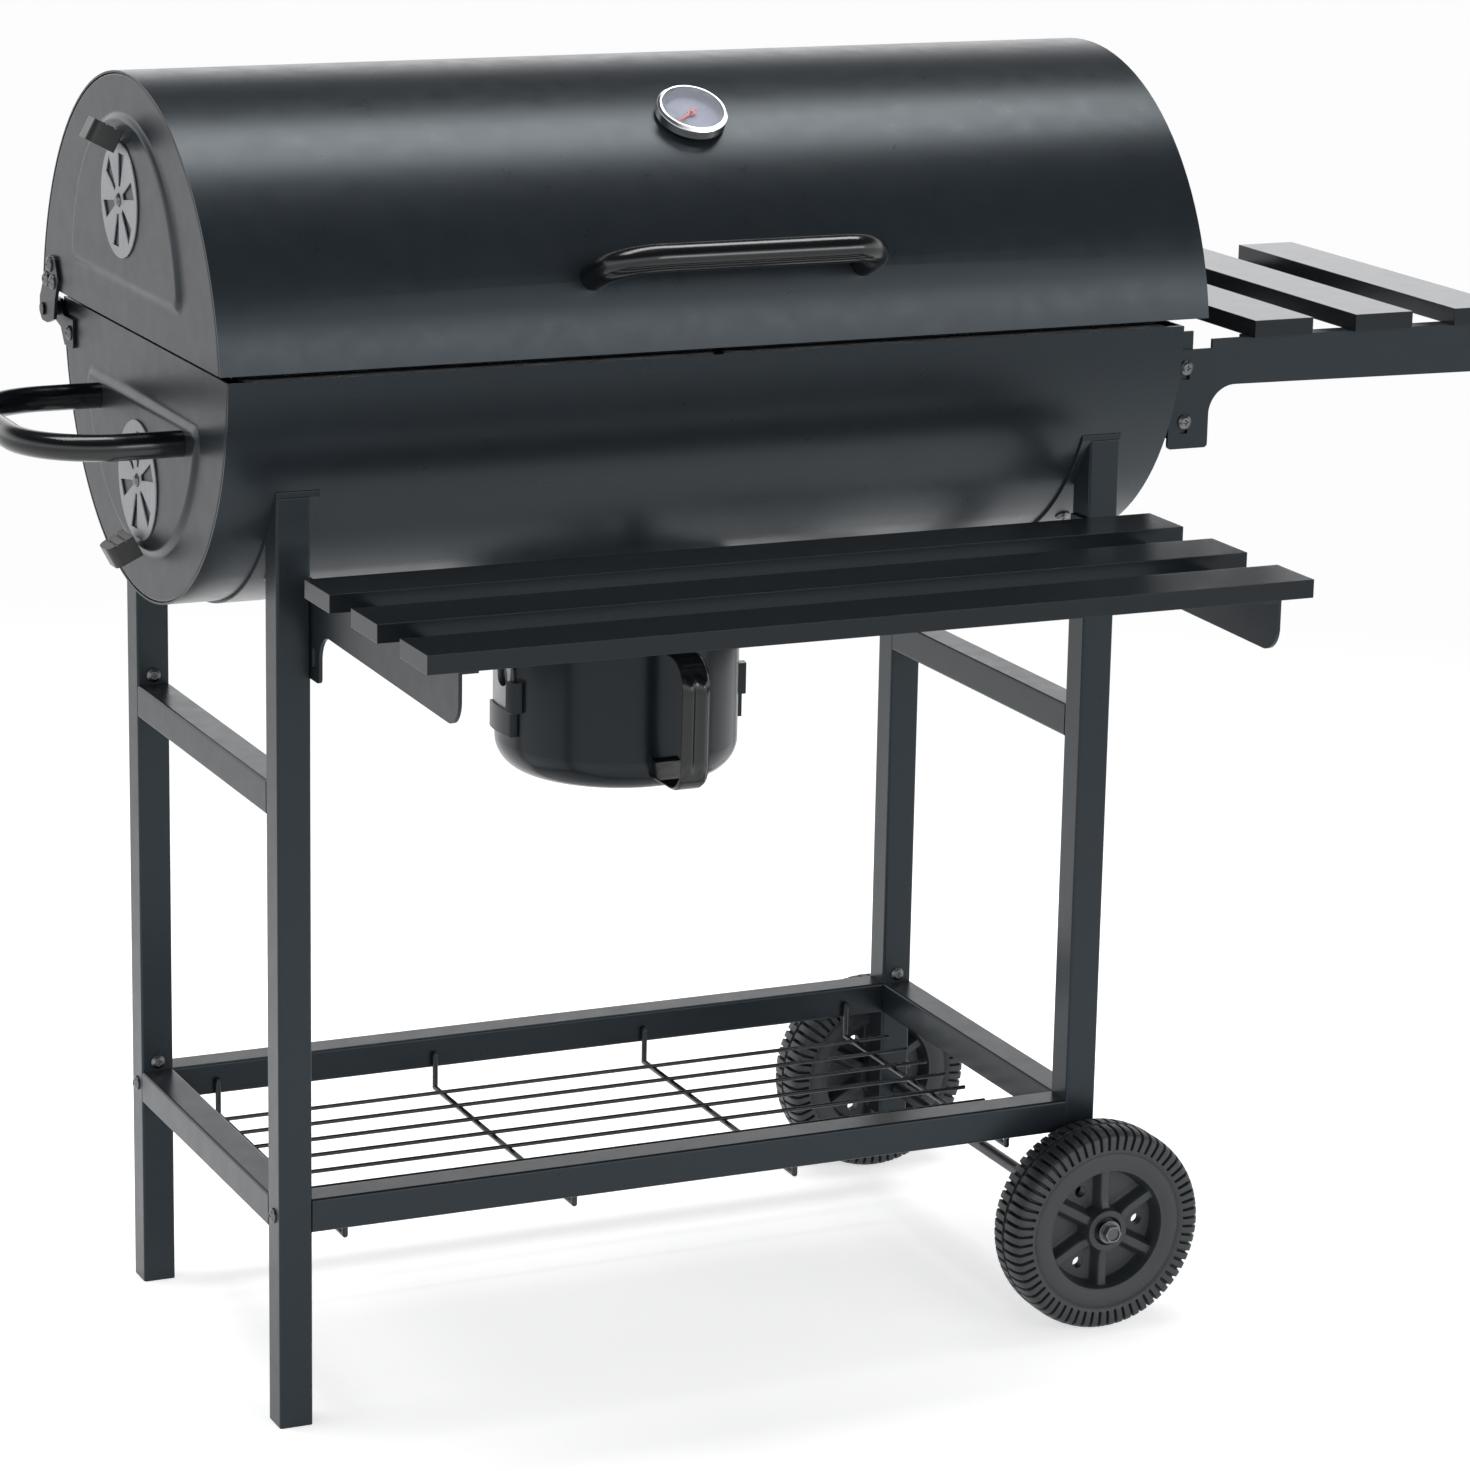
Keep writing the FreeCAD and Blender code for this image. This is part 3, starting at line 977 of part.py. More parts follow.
def wheel(word, side):
    """One moulded wheel: a spoked rim under a ribbed tread, turning on the axle."""
    near = "leg_half_y+wheel_gap"
    low = near if side > 0 else "-(%s)-wheel_width" % near
    centre = ("axle_x", low, "wheel_radius")
    tyre_blank = fuse(word + "_tyre_blank", [
        rod(word + "_tyre_body", "wheel_radius", "wheel_width-12", ("axle_x", low + "+6", "wheel_radius"), "Y"),
        cone(word + "_tyre_low", "wheel_radius-7", "wheel_radius", "6", centre, "Y"),
        cone(word + "_tyre_high", "wheel_radius", "wheel_radius-7", "6",
             ("axle_x", low + "+wheel_width-6", "wheel_radius"), "Y")])
    tyre_bore = rod(word + "_tyre_bore", "tyre_inner", "wheel_width+2", ("axle_x", low + "-1", "wheel_radius"), "Y")
    grooves = []
    for k in range(44):
        for row, start in enumerate((low + "-1", low + "+wheel_width-13")):
            groove = box("%s_groove_%d_%d" % (word, k, row), ("4", "5.2", "14"),
                         ("wheel_radius-4.5", "-2.6", "0"))
            spun = turned("%s_groove_at_%d_%d" % (word, k, row), groove, (0, 0, 1),
                          "%d*360/44+%s" % (k, "0" if row == 0 else "180/44"), ("0", "0", "0"))
            flat = turned("%s_groove_flat_%d_%d" % (word, k, row), spun, (1, 0, 0), "-90",
                          ("axle_x", start, "wheel_radius"))
            grooves.append(flat)
    tread = doc.addObject("Part::Compound", word + "_tread")
    tread.Links = grooves
    body = cut(word + "_tyre_ring", tyre_blank, tyre_bore)
    tyre = cut(word + "_tyre_cut", body, tread)
    band = cut(word + "_rim_band",
               rod(word + "_rim_outer", "tyre_inner", "wheel_width-6", ("axle_x", low + "+3", "wheel_radius"), "Y"),
               rod(word + "_rim_inner", "tyre_inner-7", "wheel_width", ("axle_x", low, "wheel_radius"), "Y"))
    web = rod(word + "_web", "tyre_inner-5", "6", ("axle_x", low + "+wheel_width/2-3", "wheel_radius"), "Y")
    hub = rod(word + "_hub", "16", "wheel_width", centre, "Y")
    spokes = []
    for k in range(6):
        arm = box("%s_spoke_%d" % (word, k), ("tyre_inner-16", "9", "wheel_width-12"), ("12", "-4.5", "0"))
        spun = turned("%s_spoke_at_%d" % (word, k), arm, (0, 0, 1), "%d*60+30" % k, ("0", "0", "0"))
        spokes.append(turned("%s_spoke_flat_%d" % (word, k), spun, (1, 0, 0), "-90",
                             ("axle_x", low + "+6", "wheel_radius")))
    holes = []
    for k in range(3):
        drill = rod("%s_web_drill_%d" % (word, k), "4.5", "wheel_width", ("33", "0", "0"))
        spun = turned("%s_web_spun_%d" % (word, k), drill, (0, 0, 1), "%d*120" % k, ("0", "0", "0"))
        holes.append(turned("%s_web_hole_%d" % (word, k), spun, (1, 0, 0), "-90", centre))
    holes.append(rod(word + "_bore", "axle_radius+running_gap", "wheel_width+2",
                     ("axle_x", low + "-1", "wheel_radius"), "Y"))
    rim = cut(word + "_rim_cut", fuse(word + "_rim_body", [band, web, hub] + spokes), holes)
    part(word, fuse(word + "_whole", [rim, tyre]))


def axle():
    reach = "leg_half_y+wheel_gap+wheel_width"
    part("axle", rod("axle_rod", "axle_radius", "2*(%s+7)" % reach, ("axle_x", "-(%s+7)" % reach, "wheel_radius"), "Y"))
    spacer = cut("spacer", rod("spacer_outer", "9", "wheel_gap-0.4", ("axle_x", "leg_half_y", "wheel_radius"), "Y"),
                 rod("spacer_bore", "axle_radius", "40", ("axle_x", "leg_half_y-10", "wheel_radius"), "Y"))
    out = "leg_half_y+wheel_gap+wheel_width+0.4"
    washer = rod("axle_washer", "9", "1.5", ("axle_x", out, "wheel_radius"), "Y")
    nut = hexagon("axle_nut_hex", "7", "6", ("axle_x", out + "+1.5", "wheel_radius"), "Y")
    cap = cut("axle_nut", fuse("axle_nut_body", [washer, nut]),
              rod("axle_nut_bore", "axle_radius", "60", ("axle_x", "leg_half_y", "wheel_radius"), "Y"))
    hold("axle_fasteners", [spacer, mirror("spacer_mirror", spacer, (0, 1, 0)),
                            cap, mirror("axle_nut_mirror", cap, (0, 1, 0))])


# ---------------------------------------------------------------- ash cup and grates

def cup_solid(name, shrink):
    """The round-bottomed solid of the cup, made smaller all round by shrink."""
    middle = "cup_bottom+cup_round"
    corner = doc.addObject("Part::Torus", name + "_corner")
    bind(corner, "Radius1", "cup_radius-cup_round")
    bind(corner, "Radius2", "cup_round-(%s)" % shrink)
    move(corner, ("0", "0", middle))
    wall = rod(name + "_wall", "cup_radius-(%s)" % shrink, "cup_top-(%s)+10*(%s)" % (middle, shrink), ("0", "0", middle))
    floor = rod(name + "_floor", "cup_radius-cup_round", "cup_round-(%s)" % shrink, ("0", "0", "cup_bottom+(%s)" % shrink))
    return fuse(name, [corner, wall, floor])


def ash_cup():
    bead = doc.addObject("Part::Torus", "cup_bead")
    bind(bead, "Radius1", "cup_radius-0.6")
    bind(bead, "Radius2", "2")
    move(bead, ("0", "0", "cup_top"))
    shell = cut("cup_shell", cup_solid("cup_outer", "0"), cup_solid("cup_inner", "cup_wall"))
    out = "-cup_radius-cup_handle_out"
    low = "cup_bottom+12"
    high = "cup_top-22"
    loop = [("-cup_radius+3", high), (out + "+18", high), (out, high + "-18"), (out, low + "+22"),
            (out + "+18", low), ("-cup_radius+3", low + "-1"),
            ("-cup_radius+3", low + "+3"), (out + "+20", low + "+4"), (out + "+4", low + "+24"),
            (out + "+4", high + "-20"), (out + "+20", high + "-4"), ("-cup_radius+3", high + "-4")]
    rounds = [(out + "+18", high, "12"), (out, high + "-18", "12"), (out, low + "+22", "14"),
              (out + "+18", low, "14"), (out + "+20", low + "+4", "10"), (out + "+4", low + "+24", "10"),
              (out + "+4", high + "-20", "9"), (out + "+20", high + "-4", "9")]
    strap = plate("cup_strap", "YZ_Plane", "-cup_handle_half", "2*cup_handle_half", [loop], rounds)
    ribs = [rod("cup_rib_%d" % k, "3", "%s-(%s)-62" % (high, low), ("%s5.5" % s, out + "+1", low + "+32"))
            for k, s in enumerate(("-", ""))]
    foot = box("cup_foot", ("2*cup_handle_half", "14", "16"), ("-cup_handle_half", "-cup_radius-11", low + "+1"))
    body = rod("cup_trim", "cup_radius", "300", ("0", "0", "cup_bottom-50"))
    handle = cut("cup_handle_cut", fuse("cup_handle_whole", [strap, foot] + ribs), body)
    part("cup_handle", handle)
    collar = ring("collar_ring", "collar_radius", "sheet", "100", ("0", "0", "cup_top-14"), "Z")
    part("ash_collar", cut("collar_cut", collar,
                           rod("collar_trim", "tub_radius", "400", ("-200", "0", "tub_axis_z"), "X")))
    plate_ring = ring("clip_ring", "cup_radius+3.2", "1.2", "200", ("0", "0", "cup_bottom+42"), "Z")
    side = box("clip_window", ("60", "34", "300"), ("-cup_radius-30", "-17", "cup_bottom"))
    tab = box("clip_tab", ("14", "24", "8"), ("-cup_radius-16", "-12", "tub_axis_z-tub_radius-1.5"))
    blank = fuse("clip_blank", [common("clip_sheet", [plate_ring, side]), tab])
    clip = cut("clip", blank, [rod("clip_trim", "tub_radius", "400", ("-200", "0", "tub_axis_z"), "X"),
                               rod("clip_hole", "9", "60", ("-cup_radius-30", "-5", "cup_bottom+79"), "X")])
    part("cup_clips", fuse("cup_clips_pair", [clip, mirror("clip_mirror", clip, (1, 0, 0))]))
    loop_ring = ring("keeper_ring", "cup_radius+5", "5.3", "20", ("0", "0", "cup_bottom+34"), "Z")
    keep = common("keeper_band", [loop_ring, box("keeper_window", ("60", "40", "60"), ("-cup_radius-30", "-20", "cup_bottom+20"))])
    gap_ring = rod("keeper_gap_ring", "cup_radius+3.8", "60", ("0", "0", "cup_bottom+20"))
    gap = common("keeper_gap", [gap_ring, box("keeper_gap_window", ("60", "36.6", "60"),
                                              ("-cup_radius-30", "-18.3", "cup_bottom+20"))])
    block_ring = ring("keeper_block_ring", "cup_radius+7", "7.3", "24", ("0", "0", "cup_bottom+53"), "Z")
    block = common("keeper_block", [block_ring, box("keeper_block_window", ("60", "9", "60"),
                                                    ("-cup_radius-30", "-27", "cup_bottom+30"))])
    post = common("keeper_post", [ring("keeper_post_ring", "cup_radius+5", "5.3", "30", ("0", "0", "cup_bottom+34"), "Z"),
                                  box("keeper_post_window", ("60", "3", "60"),
                                      ("-cup_radius-30", "-21.2", "cup_bottom+20"))])
    keeper = fuse("keeper", [cut("keeper_open", keep, gap), post, block])
    part("ash_cup", fuse("cup_whole", [shell, bead, keeper, mirror("keeper_mirror", keeper, (1, 0, 0))]))


def grate(label, start, length):
    """Half of the cooking grate: two long rods that rest on the tub's rim, with bars welded across them."""
    z = "tub_axis_z+grate_rod"
    half = "tub_radius-tub_flange/2-5"
    pieces = []
    for side, word in (("-", "front"), ("", "back")):
        pieces.append(rod("%s_%s_rod" % (label, word), "grate_rod", length, (start, "%s(%s)" % (side, half), z), "X"))
    for k in range(19):
        x = "%s+grate_bar+(%s-2*grate_bar)*%d/18" % (start, length, k)
        pieces.append(rod("%s_bar_%d" % (label, k), "grate_bar", "2*(%s+grate_rod)" % half,
                          (x, "-(%s+grate_rod)" % half, "%s+grate_rod+grate_bar" % z), "Y"))
    return part(label, gather(label + "_all", pieces))


def grates():
    length = "tub_half-sheet-10"
    grate("cooking_grate_left", "-(%s)-4" % length, length)
    grate("cooking_grate_right", "4", length)
    reach = "sqrt((tub_radius-sheet)^2-(tub_axis_z-charcoal_z+grate_rod)^2)-3"
    pieces = []
    for k in range(25):
        pieces.append(rod("charcoal_bar_%d" % k, "grate_rod", "2*(%s)" % reach,
                          ("(%d-12)*(tub_half-26)/12" % k, "-(%s)" % reach, "charcoal_z"), "Y"))
    for k, y in enumerate(("-85", "85")):
        pieces.append(rod("charcoal_tie_%d" % k, "grate_rod", "2*tub_half-40",
                          ("-tub_half+20", y, "charcoal_z-2*grate_rod"), "X"))
    part("charcoal_grate", gather("charcoal_grate_all", pieces))


def check_and_write():
    """Recompute, look at every object, and write each sub-part as a STEP file."""
    doc.recompute()
    faults = []
    for item in doc.Objects:
        if "Invalid" in item.State or "Error" in item.State:
            faults.append("%s is %s" % (item.Name, item.State))
    for label, item in PARTS:
        shape = item.Shape
        if shape.isNull() or not shape.isValid() or not shape.Solids:
            faults.append("%s has no valid solid" % label)
    if faults:
        raise RuntimeError("; ".join(faults))
    os.makedirs("parts", exist_ok=True)
    for label, item in PARTS:
        item.Shape.exportStep("parts/%s.step" % label)


stand()
tub()
lid()
hinges()
handles()
thermometer()
vent("lid_vent", "lid_fasteners", "lid_half", 1)
vent("tub_vent", "tub_fasteners", "tub_half", -1)
front_shelf()
side_shelf()
wire_shelf()
wheel("front_wheel", -1)
wheel("back_wheel", 1)
axle()
ash_cup()
grates()
fastener_groups()
check_and_write()
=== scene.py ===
import json
import math

import bmesh
import bpy
from mathutils import Matrix, Vector


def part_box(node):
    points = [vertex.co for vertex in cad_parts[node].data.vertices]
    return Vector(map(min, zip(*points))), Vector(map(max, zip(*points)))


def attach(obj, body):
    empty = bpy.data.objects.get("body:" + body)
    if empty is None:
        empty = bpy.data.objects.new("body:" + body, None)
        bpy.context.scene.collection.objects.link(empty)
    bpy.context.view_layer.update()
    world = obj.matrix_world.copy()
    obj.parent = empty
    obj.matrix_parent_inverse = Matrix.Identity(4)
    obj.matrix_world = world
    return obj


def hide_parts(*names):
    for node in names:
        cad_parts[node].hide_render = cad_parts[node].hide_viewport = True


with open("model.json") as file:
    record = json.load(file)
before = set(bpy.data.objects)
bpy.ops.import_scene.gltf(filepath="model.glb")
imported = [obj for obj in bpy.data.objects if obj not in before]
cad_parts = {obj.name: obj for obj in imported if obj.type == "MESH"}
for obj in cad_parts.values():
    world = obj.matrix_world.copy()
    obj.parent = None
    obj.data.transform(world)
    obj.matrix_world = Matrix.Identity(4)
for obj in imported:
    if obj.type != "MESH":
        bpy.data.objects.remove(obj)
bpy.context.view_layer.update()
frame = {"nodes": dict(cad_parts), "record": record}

NODES = frame["nodes"]
SLOT_OF = {row["node"]: row["material_slot"] for row in frame["record"]["subparts"]}
SCENE = bpy.context.scene


# ---------------------------------------------------------------- camera, stage and light

IMAGE_WIDTH = 1470.0
FOCAL_PIXELS = 4921.8
SENSOR = 36.0
CAMERA_AT = (-1.4231, -3.3180, 1.3841)
YAW, PITCH, ROLL = (math.radians(a) for a in (-24.647, -14.542, 1.112))


def make_camera():
    """The photograph's viewpoint, with a centred lens."""
    ahead = Vector((-math.sin(YAW) * math.cos(PITCH), math.cos(YAW) * math.cos(PITCH), math.sin(PITCH)))
    right = ahead.cross(Vector((0, 0, 1))).normalized()
    up = right.cross(ahead)
    across = right * math.cos(ROLL) + up * math.sin(ROLL)
    above = up * math.cos(ROLL) - right * math.sin(ROLL)
    data = bpy.data.cameras.new("camera")
    data.sensor_width = SENSOR
    data.lens = FOCAL_PIXELS * SENSOR / IMAGE_WIDTH
    data.clip_start = 0.05
    data.clip_end = 100
    camera = bpy.data.objects.new("camera", data)
    turn = Matrix((across, above, -ahead)).transposed().to_4x4()
    camera.matrix_world = Matrix.Translation(CAMERA_AT) @ turn
    SCENE.collection.objects.link(camera)
    SCENE.camera = camera


def area_light(name, place, target, size, power):
    """A white rectangular lamp facing a target."""
    data = bpy.data.lights.new(name, "AREA")
    data.shape = "RECTANGLE"
    data.size, data.size_y = size
    data.energy = power
    lamp = bpy.data.objects.new(name, data)
    lamp.location = place
    lamp.rotation_mode = "QUATERNION"
    lamp.rotation_quaternion = (Vector(target) - Vector(place)).to_track_quat("-Z", "Y")
    SCENE.collection.objects.link(lamp)


def make_stage():
    """A wide pale floor under an even white room with a darker band above the horizon."""
    mesh = bpy.data.meshes.new("floor")
    half = 40.0
    corners = [(-half, -half, 0), (half, -half, 0), (half, half, 0), (-half, half, 0)]
    mesh.from_pydata(corners, [], [(0, 1, 2, 3)])
    floor = bpy.data.objects.new("floor", mesh)
    SCENE.collection.objects.link(floor)
    material = bpy.data.materials.new("floor_paper")
    material.use_nodes = True
    tree = material.node_tree
    shader = tree.nodes["Principled BSDF"]
    shader.inputs["Base Color"].default_value = (0.93, 0.93, 0.93, 1)
    shader.inputs["Roughness"].default_value = 1.0
    shader.inputs["Specular IOR Level"].default_value = 0.0
    shader.inputs["Emission Color"].default_value = (1, 1, 1, 1)
    shader.inputs["Emission Strength"].default_value = 0.55
    spot = tree.nodes.new("ShaderNodeTexCoord")
    reach = tree.nodes.new("ShaderNodeVectorMath")
    reach.operation = "LENGTH"
    fade = tree.nodes.new("ShaderNodeMapRange")
    fade.interpolation_type = "SMOOTHSTEP"
    fade.inputs["From Min"].default_value = 0.7
    fade.inputs["From Max"].default_value = 2.6
    glow = tree.nodes.new("ShaderNodeEmission")
    glow.inputs["Strength"].default_value = 0.98
    mix = tree.nodes.new("ShaderNodeMixShader")
    tree.links.new(spot.outputs["Object"], reach.inputs[0])
    tree.links.new(reach.outputs["Value"], fade.inputs["Value"])
    tree.links.new(fade.outputs["Result"], mix.inputs[0])
    tree.links.new(shader.outputs[0], mix.inputs[1])
    tree.links.new(glow.outputs[0], mix.inputs[2])
    tree.links.new(mix.outputs[0], tree.nodes["Material Output"].inputs["Surface"])
    mesh.materials.append(material)

    world = bpy.data.worlds.new("studio")
    SCENE.world = world
    world.use_nodes = True
    nodes, links = world.node_tree.nodes, world.node_tree.links
    nodes.clear()
    where = nodes.new("ShaderNodeTexCoord")
    split = nodes.new("ShaderNodeSeparateXYZ")
    ramp = nodes.new("ShaderNodeValToRGB")
    back = nodes.new("ShaderNodeBackground")
    out = nodes.new("ShaderNodeOutputWorld")
    links.new(where.outputs["Generated"], split.inputs[0])
    links.new(split.outputs["Z"], ramp.inputs[0])
    links.new(ramp.outputs[0], back.inputs[0])
    links.new(back.outputs[0], out.inputs[0])
    stops = ((0.0, 1.0), (0.05, 1.7), (0.26, 1.7), (0.5, 0.08), (0.86, 0.1), (1.0, 0.5))
    ramp.color_ramp.elements[0].position, ramp.color_ramp.elements[1].position = stops[0][0], stops[-1][0]
    for place, _ in stops[1:-1]:
        ramp.color_ramp.elements.new(place)
    for element, (place, grey) in zip(ramp.color_ramp.elements, stops):
        element.position = place
        element.color = (grey, grey, grey * 1.01, 1)
    area_light("overhead", (0.1, 0.32, 3.2), (0.1, 0, 0), (3.4, 1.0), 80)
    area_light("front_right", (1.9, -3.9, 1.75), (0, 0, 0.8), (3.6, 0.8), 42)
    SCENE.view_settings.view_transform = "Standard"


make_camera()
make_stage()


# ---------------------------------------------------------------- materials

class Recipe:
    """A node material under construction."""

    def __init__(self, name):
        self.material = bpy.data.materials.new(name)
        self.material.use_nodes = True
        self.tree = self.material.node_tree
        self.shader = self.tree.nodes["Principled BSDF"]
        self.place = self.node("ShaderNodeTexCoord").outputs["Object"]

    def node(self, kind, **inputs):
        made = self.tree.nodes.new(kind)
        for key, value in inputs.items():
            self.set(made.inputs[key.replace("_", " ")], value)
        return made

    def set(self, socket, value):
        if isinstance(value, bpy.types.NodeSocket):
            self.tree.links.new(value, socket)
        else:
            socket.default_value = value

    def noise(self, scale, detail=3.0, rough=0.5, stretch=None):
        place = self.place
        if stretch:
            mapping = self.node("ShaderNodeMapping", Scale=stretch)
            self.tree.links.new(place, mapping.inputs["Vector"])
            place = mapping.outputs[0]
        made = self.node("ShaderNodeTexNoise", Scale=scale, Detail=detail, Roughness=rough)
        self.tree.links.new(place, made.inputs["Vector"])
        return made.outputs["Fac"]

    def ramp(self, fac, low, high, start=0.0, end=1.0):
        made = self.node("ShaderNodeMapRange")
        self.set(made.inputs["Value"], fac)
        for key, value in (("From Min", start), ("From Max", end), ("To Min", low), ("To Max", high)):
            made.inputs[key].default_value = value
        return made.outputs["Result"]

    def tint(self, fac, low, high):
        made = self.node("ShaderNodeMix")
        made.data_type = "RGBA"
        self.set(made.inputs[0], fac)
        made.inputs[6].default_value = (*low, 1)
        made.inputs[7].default_value = (*high, 1)
        return made.outputs[2]

    def bump(self, height, distance, strength=1.0, round_edge=0.0008):
        """A fine relief over edges that are softened by a small radius."""
        made = self.node("ShaderNodeBump", Strength=strength, Distance=distance)
        self.set(made.inputs["Height"], height)
        if round_edge:
            edge = self.node("ShaderNodeBevel", Radius=round_edge)
            edge.samples = 6
            self.tree.links.new(edge.outputs["Normal"], made.inputs["Normal"])
        return made.outputs["Normal"]

    def finish(self, **inputs):
        for key, value in inputs.items():
            self.set(self.shader.inputs[key.replace("_", " ")], value)
        return self.material


def powder_coat(name, color, rough=0.42, grain=900.0, depth=0.00006, spread=0.04, patchy=0.03,
                edge=0.0008):
    """Satin powder coat: a fine pebbled skin, faint mottling and a little dust in the gloss."""
    r = Recipe(name)
    mottle = r.noise(7.0, 4.0)
    dust = r.noise(55.0, 5.0, 0.6)
    light = tuple(c * (1 + spread) for c in color)
    dark = tuple(c * (1 - spread) for c in color)
    pebble = r.bump(r.noise(grain, 2.0), depth, 0.5, edge)
    return r.finish(Specular_IOR_Level=0.34, Specular_Tint=(0.80, 0.92, 1.0, 1.0),
                    Base_Color=r.tint(mottle, dark, light), Normal=pebble,
                    Roughness=r.ramp(dust, rough - patchy, rough + patchy, 0.3, 0.7))


def gloss_coat(name, color, rough=0.18):
    """Gloss enamel with a slight orange peel."""
    r = Recipe(name)
    peel = r.bump(r.noise(260.0, 1.5), 0.0001, 0.25)
    smear = r.noise(30.0, 4.0)
    return r.finish(Base_Color=r.tint(smear, tuple(c * 0.9 for c in color), tuple(c * 1.1 for c in color)),
                    Roughness=r.ramp(smear, rough - 0.03, rough + 0.07, 0.3, 0.7), Normal=peel)


def plated(name, color, rough=0.3, brush=None, metal=1.0):
    """Bare or plated metal, brushed along one direction when asked."""
    r = Recipe(name)
    streak = r.noise(60.0, 4.0, 0.6, brush or (1, 1, 1))
    stain = r.noise(12.0, 3.0)
    return r.finish(Base_Color=r.tint(stain, tuple(c * 0.85 for c in color), color), Metallic=metal,
                    Roughness=r.ramp(streak, rough - 0.08, rough + 0.1, 0.3, 0.7),
                    Normal=r.bump(streak, 0.00005, 0.3))


def moulded(name, color, rough=0.55, grain=700.0):
    """Moulded plastic with a fine spark-eroded grain."""
    r = Recipe(name)
    cloud = r.noise(9.0, 3.0)
    fine = r.noise(grain, 2.0)
    return r.finish(Base_Color=r.tint(cloud, tuple(c * 0.88 for c in color), tuple(c * 1.12 for c in color)),
                    Roughness=r.ramp(fine, rough - 0.06, rough + 0.08, 0.3, 0.7),
                    Normal=r.bump(fine, 0.00012, 0.5))


def clear_glass(name):
    r = Recipe(name)
    haze = r.noise(40.0, 3.0)
    return r.finish(Base_Color=(0.95, 0.97, 1.0, 1.0), Roughness=r.ramp(haze, 0.02, 0.06, 0.3, 0.7),
                    Transmission_Weight=1.0, IOR=1.1)


PAINT = (0.0095, 0.0125, 0.0155)
DARK_PAINT = (0.006, 0.0075, 0.009)

MATERIALS = {
    "frame_paint": powder_coat("frame_paint", PAINT, 0.30),
    "strap_paint": powder_coat("strap_paint", PAINT, 0.30),
    "tub_paint": powder_coat("tub_paint", PAINT, 0.30, depth=0.00004, edge=None),
    "lid_paint": powder_coat("lid_paint", PAINT, 0.30, depth=0.00004, edge=None),
    "hinge_steel": powder_coat("hinge_steel", DARK_PAINT, 0.32),
    "screw_steel": plated("screw_steel", (0.16, 0.165, 0.17), 0.35),
    "handle_paint": gloss_coat("handle_paint", (0.003, 0.004, 0.005), 0.15),
    "bezel_chrome": plated("bezel_chrome", (0.9, 0.91, 0.92), 0.14),
    "dial_face": powder_coat("dial_face", (0.26, 0.26, 0.31), 0.5, spread=0.03),
    "dial_glass": clear_glass("dial_glass"),
    "needle_red": gloss_coat("needle_red", (0.5, 0.03, 0.02), 0.3),
    "vent_steel": plated("vent_steel", (0.30, 0.31, 0.325), 0.42, (1, 6, 1), 0.6),
    "grip_plastic": gloss_coat("grip_plastic", (0.004, 0.005, 0.006), 0.3),
    "slat_paint": powder_coat("slat_paint", DARK_PAINT, 0.22, spread=0.02, patchy=0.01),
    "bracket_paint": powder_coat("bracket_paint", PAINT, 0.34),
    "wire_paint": gloss_coat("wire_paint", DARK_PAINT, 0.25),
    "axle_steel": plated("axle_steel", (0.10, 0.10, 0.11), 0.4),
    "wheel_plastic": moulded("wheel_plastic", (0.016, 0.020, 0.023), 0.5),
    "cup_paint": powder_coat("cup_paint", (0.003, 0.004, 0.005), 0.24, grain=400.0, depth=0.00002,
                             patchy=0.01),
    "cup_handle_paint": gloss_coat("cup_handle_paint", (0.004, 0.005, 0.006), 0.14),
    "clip_steel": plated("clip_steel", (0.3, 0.31, 0.33), 0.35),
    "grate_chrome": plated("grate_chrome", (0.7, 0.7, 0.71), 0.22),
    "charcoal_grate_iron": plated("charcoal_grate_iron", (0.09, 0.09, 0.09), 0.6),
}

for name, item in NODES.items():
    item.data.materials.clear()
    item.data.materials.append(MATERIALS[SLOT_OF[name]])


# ---------------------------------------------------------------- pieces

def middle(node):
    low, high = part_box(node)
    return (low + high) / 2


def surface(name, points, faces, slot, body, replaced=(), smooth=True):
    """A mesh piece in the row frame, with its finish, its CAD body and the nodes it stands for."""
    mesh = bpy.data.meshes.new(name)
    mesh.from_pydata([tuple(p) for p in points], [], faces)
    tidy = bmesh.new()
    tidy.from_mesh(mesh)
    bmesh.ops.recalc_face_normals(tidy, faces=tidy.faces)
    tidy.to_mesh(mesh)
    tidy.free()
    mesh.materials.append(MATERIALS[slot])
    for polygon in mesh.polygons:
        polygon.use_smooth = smooth
    if smooth:
        mesh.set_sharp_from_angle(angle=math.radians(38))
    piece = bpy.data.objects.new(name, mesh)
    SCENE.collection.objects.link(piece)
    if replaced:
        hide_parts(*replaced)
    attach(piece, body)
    return piece


def grid_faces(rows, columns, wrap_rows=False, wrap_columns=False):
    faces = []
    for i in range(rows if wrap_rows else rows - 1):
        for j in range(columns if wrap_columns else columns - 1):
            k, m = (i + 1) % rows, (j + 1) % columns
            faces.append((i * columns + j, i * columns + m, k * columns + m, k * columns + j))
    return faces


def smooth_step(low, high, value):
    t = min(max((value - low) / (high - low), 0.0), 1.0)
    return t * t * (3 - 2 * t)


